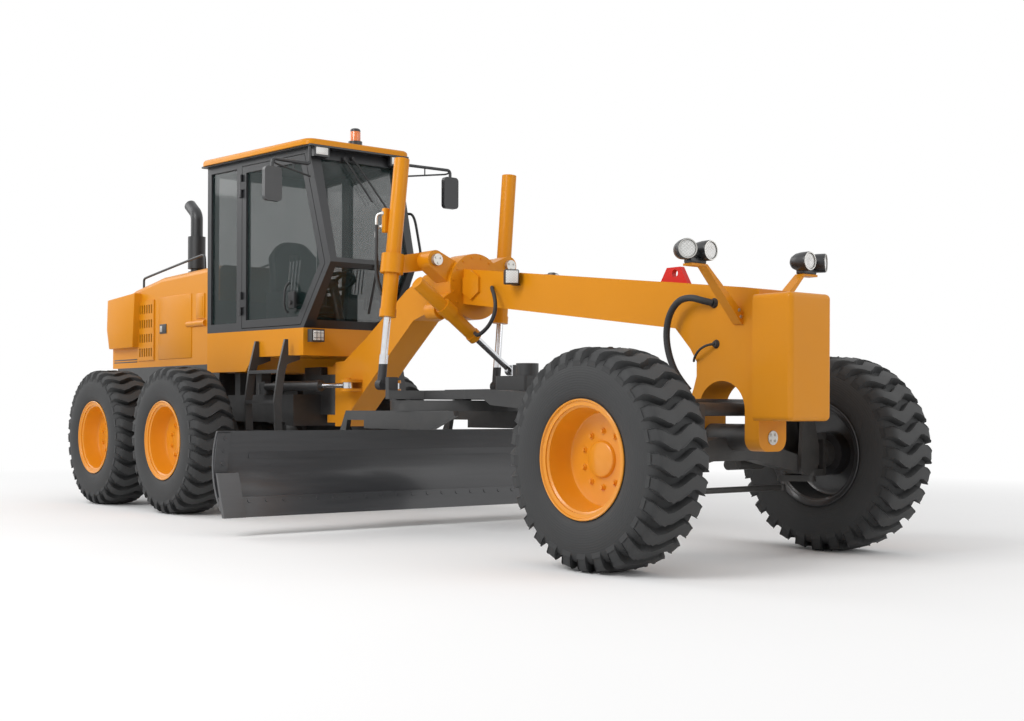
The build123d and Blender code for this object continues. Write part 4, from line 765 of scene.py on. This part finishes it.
# Cab roof: a pressed yellow cap with rounded corners over a black lining.
# It overhangs the cab on every side, most at the front.
ROOF = ((-2.001, 0.7284), (-0.351, 0.5436))
ROOF_Z, ROOF_DEPTH = 3.236, 0.056


def roof_plan(inset, z):
    """The roof's four corners at a height, drawn in by an inset."""
    right = [(x, -half + inset, z) for x, half in ROOF]
    return right + [(x, half - inset, z) for x, half in reversed(ROOF)]


roof = bmesh.new()
extruded(roof, roof_plan(0.0, ROOF_Z), (0, 0, ROOF_DEPTH))
corners = [edge for edge in roof.edges if abs(edge.verts[0].co.z - edge.verts[1].co.z) > 0.03]
bmesh.ops.bevel(roof, geom=corners, offset=0.085, affect="EDGES", segments=5, profile=0.5, material=-1)
upper = [edge for edge in roof.edges if all(v.co.z > 3.28 for v in edge.verts)]
bmesh.ops.bevel(roof, geom=upper, offset=0.030, affect="EDGES", segments=4, profile=0.5, material=-1)
extruded(roof, roof_plan(0.022, 3.223), (0, 0, 0.015), 1)
finished("roof_cap", roof, "rear", [plate_yellow, cab_black], ["cab_roof"])

# Beacon and lamps on the cab: an amber dome on a black foot, two lamps under the brow and two on the base.
# The mirrors' glass faces rearwards in its rounded black shells.
mirror_glass = Finish("mirror_glass", Metallic=1.0)
tarnish = mirror_glass.noise(12.0, 3.0)
mirror_glass.show(
    Base_Color=mirror_glass.mix(tarnish, (0.62, 0.64, 0.66), (0.70, 0.72, 0.74)),
    Roughness=0.04 + 0.04 * tarnish,
)
dress(cab_black, "mirrors_and_lamps")
cab_lamps = bmesh.new()
DOME = ((0.032, 0.0), (0.032, 0.0476), (0.118, 0.0470), (0.138, 0.040), (0.150, 0.022), (0.153, 0.0))
spun(cab_lamps, DOME, 32, (-0.441, 0, 3.292), (0, 0, 1))
for side in (-1, 1):
    block(cab_lamps, (-0.357, side * 0.400, 3.186), (0.008, 0.120, 0.062), 0.003, 1)
    block(cab_lamps, (-0.404, side * 0.400, 1.590), (0.010, 0.104, 0.084), 0.004, 1)
    for along in (-0.020, 0.020):
        block(cab_lamps, (-0.399, side * 0.400 + along, 1.590), (0.006, 0.005, 0.080), 0.001, 2)
    for z in (1.570, 1.612):
        block(cab_lamps, (-0.399, side * 0.400, z), (0.006, 0.100, 0.004), 0.001, 2)
block(cab_lamps, (-0.374, -0.900, 2.850), (0.004, 0.125, 0.245), 0.002, 3)
block(cab_lamps, (-0.396, 1.010, 2.960), (0.004, 0.125, 0.245), 0.002, 3)
finished(
    "cab_lamps", cab_lamps, "rear", [amber_lens, clear_lens, cab_black, mirror_glass.material]
)

# Wipers: sprung arms and rubber blades on the front panes, parked at a slant.
# Each turns on a small drum that stands out of the pane's frame.
def front_x(z, out):
    """The cab's front face at a height, moved out by a distance; it leans back both ways from its kink."""
    kink_x, kink_z = -0.137, 2.210
    if z > kink_z:
        return kink_x - 0.301 * (z - kink_z) / 1.020 + out
    return kink_x - 0.370 * (kink_z - z) / 0.550 + out


wipers = bmesh.new()
# Arm's root and tip: distance to the left and height
for (y0, z0), (y1, z1) in (
    ((-0.150, 3.150), (0.070, 2.780)), ((-0.060, 3.165), (0.215, 2.740)), ((0.020, 2.180), (0.110, 1.800)),
):
    for slide, out, thick in ((0.0, 0.030, 0.0065), (0.022, 0.016, 0.0045)):
        bar_between(
            wipers, (front_x(z0, out), y0 + slide, z0), (front_x(z1, out - 0.006), y1 + slide, z1), thick,
            segments=10,
        )
    bar_between(wipers, (front_x(z0, -0.004), y0, z0), (front_x(z0, 0.036), y0, z0), 0.018, 0.014, 16)
finished("wipers", wipers, "rear", [moulded.material])

# Door furniture: a black pull with a lock drum low on each door, and a short bent handle beside it.
# A grab bar of bent tube stands ahead of the left door.
for side, hand in ((-1, "right"), (1, "left")):
    pulls = bmesh.new()
    y = side * 0.532
    block(pulls, (-0.628, y, 1.905), (0.105, 0.034, 0.150), 0.012)
    bar_between(pulls, (-0.610, y, 1.880), (-0.610, y + side * 0.040, 1.880), 0.020, 0.017, 20)
    bent_tube(pulls, [
        (-0.70, side * 0.530, 1.80), (-0.70, side * 0.570, 1.82), (-0.69, side * 0.575, 1.95),
        (-0.68, side * 0.565, 2.04), (-0.68, side * 0.524, 2.06),
    ], 0.010)
    finished(f"door_pull_{hand}", pulls, f"door_{hand}", [moulded.material])

grab_bars = bmesh.new()
bent_tube(grab_bars, [
    (-0.560, 0.480, 2.74), (-0.500, 0.600, 2.745), (-0.430, 0.640, 2.740), (-0.360, 0.640, 2.500),
    (-0.310, 0.640, 2.320), (-0.340, 0.560, 2.240), (-0.300, 0.440, 2.230),
], 0.012)
finished("grab_bars", grab_bars, "rear", [frame_black])

# Driver's place: a cushioned seat on a plastic pedestal, with two banks of chromed levers ahead of it.
# The cushions are foam under dark woven cloth with a sewn edge.
cloth = Finish("seat_cloth", Sheen_Weight=0.3)
weave = (cloth.along("Y") * 1500.0).wave() * ((cloth.along("X") + cloth.along("Z")) * 1500.0).wave()
cloth.show(
    Base_Color=cloth.mix(cloth.noise(30.0, 4.0), (0.030, 0.031, 0.034), (0.055, 0.056, 0.060)),
    Roughness=0.85 + 0.1 * weave,
    Bump=(weave, 0.0006, 0.5),
)


def cushion(name, middle, size, tilt):
    """A crowned foam pad that pulls in between its corners, with a piped seam round its edge."""
    pad = bmesh.new()
    bmesh.ops.create_cube(pad, size=2.0)
    bmesh.ops.subdivide_edges(pad, edges=pad.edges[:], cuts=9, use_grid_fill=True)
    half = Vector(size) / 2
    placed = Matrix.Translation(middle) @ Matrix.Rotation(tilt, 4, "Y")
    for vert in pad.verts:
        x, y, z = vert.co
        crown = (1 - x ** 4) * (1 - y ** 4)
        pull = 1 - 0.05 * (1 - abs(z)) - 0.04 * (1 - (x * y) ** 2)
        depth = 0.55 + 0.45 * crown
        vert.co = placed @ Vector((x * pull * half.x, y * pull * half.y, z * depth * half.z))
    bmesh.ops.smooth_vert(
        pad, verts=pad.verts[:], factor=0.5, use_axis_x=True, use_axis_y=True, use_axis_z=True
    )
    piece = finished(name, pad, "rear", [cloth.material], smooth=60.0)
    return piece


BACK_TILT = -0.10
cushion("seat_cushion", (-1.271, 0, 1.860), (0.490, 0.490, 0.125), 0.0)
cushion("seat_back", (-1.492, 0, 2.230), (0.130, 0.470, 0.600), BACK_TILT)
pedestal = bmesh.new()
block(pedestal, (-1.271, 0, 1.630), (0.340, 0.340, 0.340), 0.02)
block(pedestal, (-1.271, 0, 1.796), (0.420, 0.440, 0.030), 0.008)
block(pedestal, (-1.545, 0, 2.100), (0.030, 0.300, 0.420), 0.010, turn=Matrix.Rotation(BACK_TILT, 4, "Y"))
finished("seat_pedestal", pedestal, "rear", [moulded.material], ["cab_seat"])

levers = bmesh.new()
for y in (-0.345, 0.345):
    for step in range(4):
        x = -0.985 + step * 0.055
        bar_between(levers, (x - 0.03, y, 2.015), (x + 0.02, y, 2.290), 0.007, 0.006, 12)
        bar_between(levers, (x + 0.018, y, 2.280), (x + 0.026, y, 2.330), 0.015, 0.020, 16, 1)
finished("levers", levers, "rear", [chrome, moulded.material])

# Head lamps: paired round pods on folded yellow arms that rise from the front leg's sides.
# Each pod is a black pressed shell with a zinc ring and a fluted lens.
ARM_LINE = (
    (0.130, 1.490), (0.144, 1.490), (0.470, 1.826), (0.600, 1.826), (0.600, 1.840), (0.460, 1.840),
    (0.130, 1.560),
)
LAMP_SHELL = (
    (0.002, 0.0), (0.004, 0.024), (0.022, 0.044), (0.050, 0.057), (0.090, 0.062), (0.142, 0.0625),
    (0.150, 0.060), (0.150, 0.054), (0.140, 0.052), (0.140, 0.0),
)
LAMP_LENS = ((0.141, 0.0), (0.1475, 0.020), (0.144, 0.051), (0.140, 0.052))
LAMP_RING = ((0.146, 0.058), (0.152, 0.0595), (0.152, 0.053), (0.146, 0.053))
head = bmesh.new()
for side in (-1, 1):
    extruded(head, [(4.034, side * y, z) for y, z in ARM_LINE], (0.070, 0, 0))
    for z in (1.535, 1.575):
        bolt_head(head, (4.104, side * (0.138 + (z - 1.5) * 0.4), z), (1, 0, 0), 0.009, 2)
    block(head, (4.069, side * 0.530, 1.858), (0.060, 0.140, 0.036), 0.008, 1)
    for out, turned in ((-0.058, 0.0), (0.058, radians(28) * side)):
        axis = Vector((cos(turned), sin(turned), 0))
        foot = Vector((3.994, side * (0.530 + out), 1.920))
        for outline, material in ((LAMP_SHELL, 1), (LAMP_LENS, 3), (LAMP_RING, 2)):
            spun(head, outline, 36, foot, axis, material)
bmesh.ops.remove_doubles(head, verts=head.verts[:], dist=WELD)
finished(
    "head_lamps", head, "front", [plate_yellow, cab_black, zinc.material, clear_lens],
    ["headlamps"],
)

# Beam lamps: square work lamps on both sides of the beam, turned outwards.
# Black finned housings with a clear lens and a small bracket.
beam_lamps = bmesh.new()
for side in (-1, 1):
    swivel = Matrix.Rotation(side * 0.55, 4, "Z")
    middle = Vector((1.962, side * 0.208, 1.935))
    block(beam_lamps, middle, (0.062, 0.112, 0.112), 0.012, 0, swivel)
    for fin in range(5):
        back = swivel @ Vector((-0.042, (fin - 2) * 0.020, 0))
        block(beam_lamps, middle + back, (0.030, 0.005, 0.090), 0.001, 0, swivel)
    block(beam_lamps, middle + swivel @ Vector((0.032, 0, 0)), (0.006, 0.092, 0.092), 0.003, 1, swivel)
    block(beam_lamps, (1.955, side * 0.152, 1.880), (0.040, 0.070, 0.010), 0.002)
finished("beam_lamps", beam_lamps, "front", [cab_black, clear_lens])

# Saddle fittings: zinc caps on the yoke pins, a ring of bolts on the drum and a six-sided cover plate.
# Three small bolts hold each pin's cap, and the cover plates stand on both sides of the beam.
DRUM_RADIUS = 0.232
fittings = bmesh.new()
for side in (-1, 1):
    pin = Vector((1.2690, side * 0.370, 2.112))
    bar_between(fittings, pin - Vector((0.03, 0, 0)), pin + Vector((0.010, 0, 0)), 0.047, 0.045, 32)
    for step in range(3):
        angle = 2 * pi * step / 3 + 0.5
        at = pin + Vector((0.010, 0.027 * cos(angle), 0.027 * sin(angle)))
        bolt_head(fittings, at, (1, 0, 0), 0.008)
for step in range(16):
    angle = 2 * pi * (step + 0.5) / 16
    y, z = DRUM_RADIUS * cos(angle), 1.920 + DRUM_RADIUS * sin(angle)
    if abs(y) > 0.150 or z > 2.08:
        bolt_head(fittings, (1.2890, y, z), (1, 0, 0), 0.009, 1)
plate = bmesh.new()
for side in (-1, 1):
    middle = Vector((1.400, side * 0.130, 1.918))
    bar_between(plate, middle, middle + Vector((0, side * 0.020, 0)), 0.115, 0.113, 6)
finished("saddle_fittings", fittings, "front", [zinc.material, plate_yellow])
finished("beam_plates", plate, "front", [plate_yellow])

# Front leg fittings: the axle pin's bolted keeper and the rubber grommets of the two hoses.
# All are on the front frame's leg.
leg_bits = bmesh.new()
bar_between(leg_bits, (4.225, 0, 0.784), (4.236, 0, 0.784), 0.046, 0.044, 32)
for step in range(4):
    angle = pi / 2 * step + pi / 4
    bolt_head(leg_bits, (4.236, 0.027 * cos(angle), 0.784 + 0.027 * sin(angle)), (1, 0, 0), 0.008)
bar_between(leg_bits, (3.884, -0.128, 1.373), (3.884, -0.150, 1.373), 0.030, 0.018, 24, 1)
bar_between(leg_bits, (3.866, -0.128, 1.634), (3.866, -0.148, 1.634), 0.034, 0.024, 24, 1)
finished("leg_fittings", leg_bits, "front", [zinc.material, moulded.material])

# Blade hardware: a wear strip down each end of the face, and plough bolts along the cutting edge.
# The bolts' heads lie almost flush.
def face_x(z):
    """The blade's hollow front face at a height."""
    waist_x, waist_z = 0.5474, 0.470
    if z > waist_z:
        return waist_x + 0.0620 * ((z - waist_z) / 0.315) ** 2
    return waist_x + 0.1280 * ((waist_z - z) / 0.270) ** 2


edge_bits = bmesh.new()
for side in (-1, 1):
    strip = bmesh.new()
    bmesh.ops.create_grid(strip, x_segments=1, y_segments=16, size=1.0)
    for vert in strip.verts:
        z = 0.545 + 0.225 * vert.co.y
        vert.co = (face_x(z) + 0.006, side * (1.855 + 0.055 * vert.co.x), z)
    pushed(strip, strip.faces[:], (-0.016, 0, 0), True)
    poured(strip, edge_bits)
    for step in range(5):
        z = 0.350 + step * 0.095
        at = Vector((face_x(z) + 0.006, side * 1.845, z))
        bar_between(edge_bits, at, at + Vector((0.006, 0, 0)), 0.015, 0.012, 16)
for step in range(25):
    y = -1.824 + step * 0.152
    at = Vector((0.6525, y, 0.259))
    out = Vector((0.920, 0, 0.393))
    bar_between(edge_bits, at - 0.004 * out, at + 0.005 * out, 0.017, 0.014, 16)
finished("blade_bolts", edge_bits, "blade", [blade_paint.material])


# Hoses: braided rubber, two on the front leg and one from the beam to the centre-shift cylinder.
# They are bought by length and pushed on to the pipes' ends.
def hose(name, points, diameter, ride_on, blend=None):
    line = line_of(points, diameter / 2)
    piece = bpy.data.objects.new(name, line)
    bpy.context.collection.objects.link(piece)
    line.materials.append(moulded.material)
    if blend:
        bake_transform(piece)
    else:
        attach(piece, ride_on)


hose("leg_hose", [
    (3.866, -0.146, 1.634), (3.820, -0.190, 1.650), (3.740, -0.215, 1.675), (3.640, -0.220, 1.660),
    (3.560, -0.220, 1.570), (3.530, -0.215, 1.440), (3.550, -0.205, 1.300), (3.600, -0.180, 1.170),
    (3.660, -0.134, 1.080),
], 0.044, "front")
hose("leg_jumper", [
    (3.884, -0.148, 1.373), (3.850, -0.175, 1.370), (3.790, -0.185, 1.340), (3.730, -0.165, 1.290),
    (3.700, -0.134, 1.270),
], 0.016, "front")
hose("saddle_hose", [
    (1.645, -0.130, 1.883), (1.700, -0.185, 1.880), (1.775, -0.210, 1.800), (1.790, -0.215, 1.690),
    (1.720, -0.215, 1.590), (1.600, -0.200, 1.530), (1.500, -0.170, 1.520), (1.425, -0.120, 1.545),
], 0.030, "front")

# Mirror stays: a second bent tube under each mirror's arm, with a strut between the two.
# They are welded to the roof's corner and meet the arm at its elbow.
stays = bmesh.new()
for side, high, out, x in ((-1, 3.065, 0.900, -0.349), (1, 3.170, 1.010, -0.371)):
    root = Vector((-0.389, side * 0.500, high - 0.105))
    head = Vector((x, side * (out - 0.010), high - 0.035))
    path = [root, root.lerp(head, 0.35), root.lerp(head, 0.75), head, head + Vector((0, 0, 0.03))]
    bent_tube(stays, path, 0.008)
    middle = root.lerp(head, 0.45)
    bar_between(stays, middle, (middle.x, middle.y, high - 0.004), 0.006)
finished("mirror_stays", stays, "rear", [cab_black])

# Drawbar gussets: three-cornered ribs welded outside the A-frame under a thin top flange.
# Known fault: the swing has the wrong sign, so the left row stands clear and the right row is sunk in.
def drawbar_y(x, out):
    """A place beside the drawbar, which stands swung a little about its ball."""
    ball_x, swing = 3.549, -0.0543
    return swing * (x - ball_x) + out


GUSSET_TOP_Z = 1.090
gussets = bmesh.new()
for side in (-1, 1):
    for x in (1.44, 1.60, 1.76, 1.92):
        edge = drawbar_y(x, side * 0.434)
        corners = [(x, edge, GUSSET_TOP_Z), (x, edge + side * 0.085, GUSSET_TOP_Z), (x, edge, 1.034)]
        extruded(gussets, corners, (0.014, 0, 0))
    ends = [(x, drawbar_y(x, side * 0.430), GUSSET_TOP_Z) for x in (1.42, 1.96)]
    far = [(x, y + side * 0.095, z) for x, y, z in reversed(ends)]
    extruded(gussets, ends + far, (0, 0, 0.012))
finished("drawbar_gussets", gussets, "drawbar", [frame_black])

# Lift cylinder pipes: a yellow port block behind each barrel with two steel elbows.
# Two black pipes run down from them past the collar.
COLLAR_Z = 2.078
PORT_BACK, PORT_OUT = 0.75, 0.66
for hand, out, collar_y, slope in (("right", -1, 0.637, -0.1055), ("left", 1, 0.533, 0.0757)):
    low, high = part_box("lift_rod_" + hand)
    x = (low[0] + high[0]) / 2
    ports = bmesh.new()

    def beside(z, back, along=0.0):
        """A place behind and outside the barrel at a height."""
        y = collar_y + slope * (z - COLLAR_Z) + PORT_OUT * back + PORT_BACK * along
        return Vector((x - PORT_BACK * back + PORT_OUT * along, out * y, z))

    block(ports, beside(2.420, 0.086), (0.045, 0.045, 0.190), 0.006, 0)
    for z, shift in ((2.475, 0.014), (2.375, -0.014)):
        bar_between(ports, beside(z, 0.100, shift), beside(z, 0.118, shift), 0.019, 0.019, 6, 1)
        bent_tube(ports, [
            beside(z, 0.110, shift), beside(z, 0.150, shift), beside(z - 0.05, 0.160, shift),
            beside(z - 0.10, 0.150, shift),
        ], 0.011, 1)
        bent_tube(ports, [
            beside(z - 0.09, 0.152, shift), beside(z - 0.20, 0.140, shift), beside(2.10, 0.128, shift),
            beside(1.98, 0.115, shift), beside(1.88, 0.080, shift), beside(1.84, 0.060, shift),
        ], 0.013, 2)
    finished(
        "lift_pipes_" + hand, ports, "lift_barrel_" + hand,
        [plate_yellow, zinc.material, moulded.material],
    )

low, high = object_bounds()
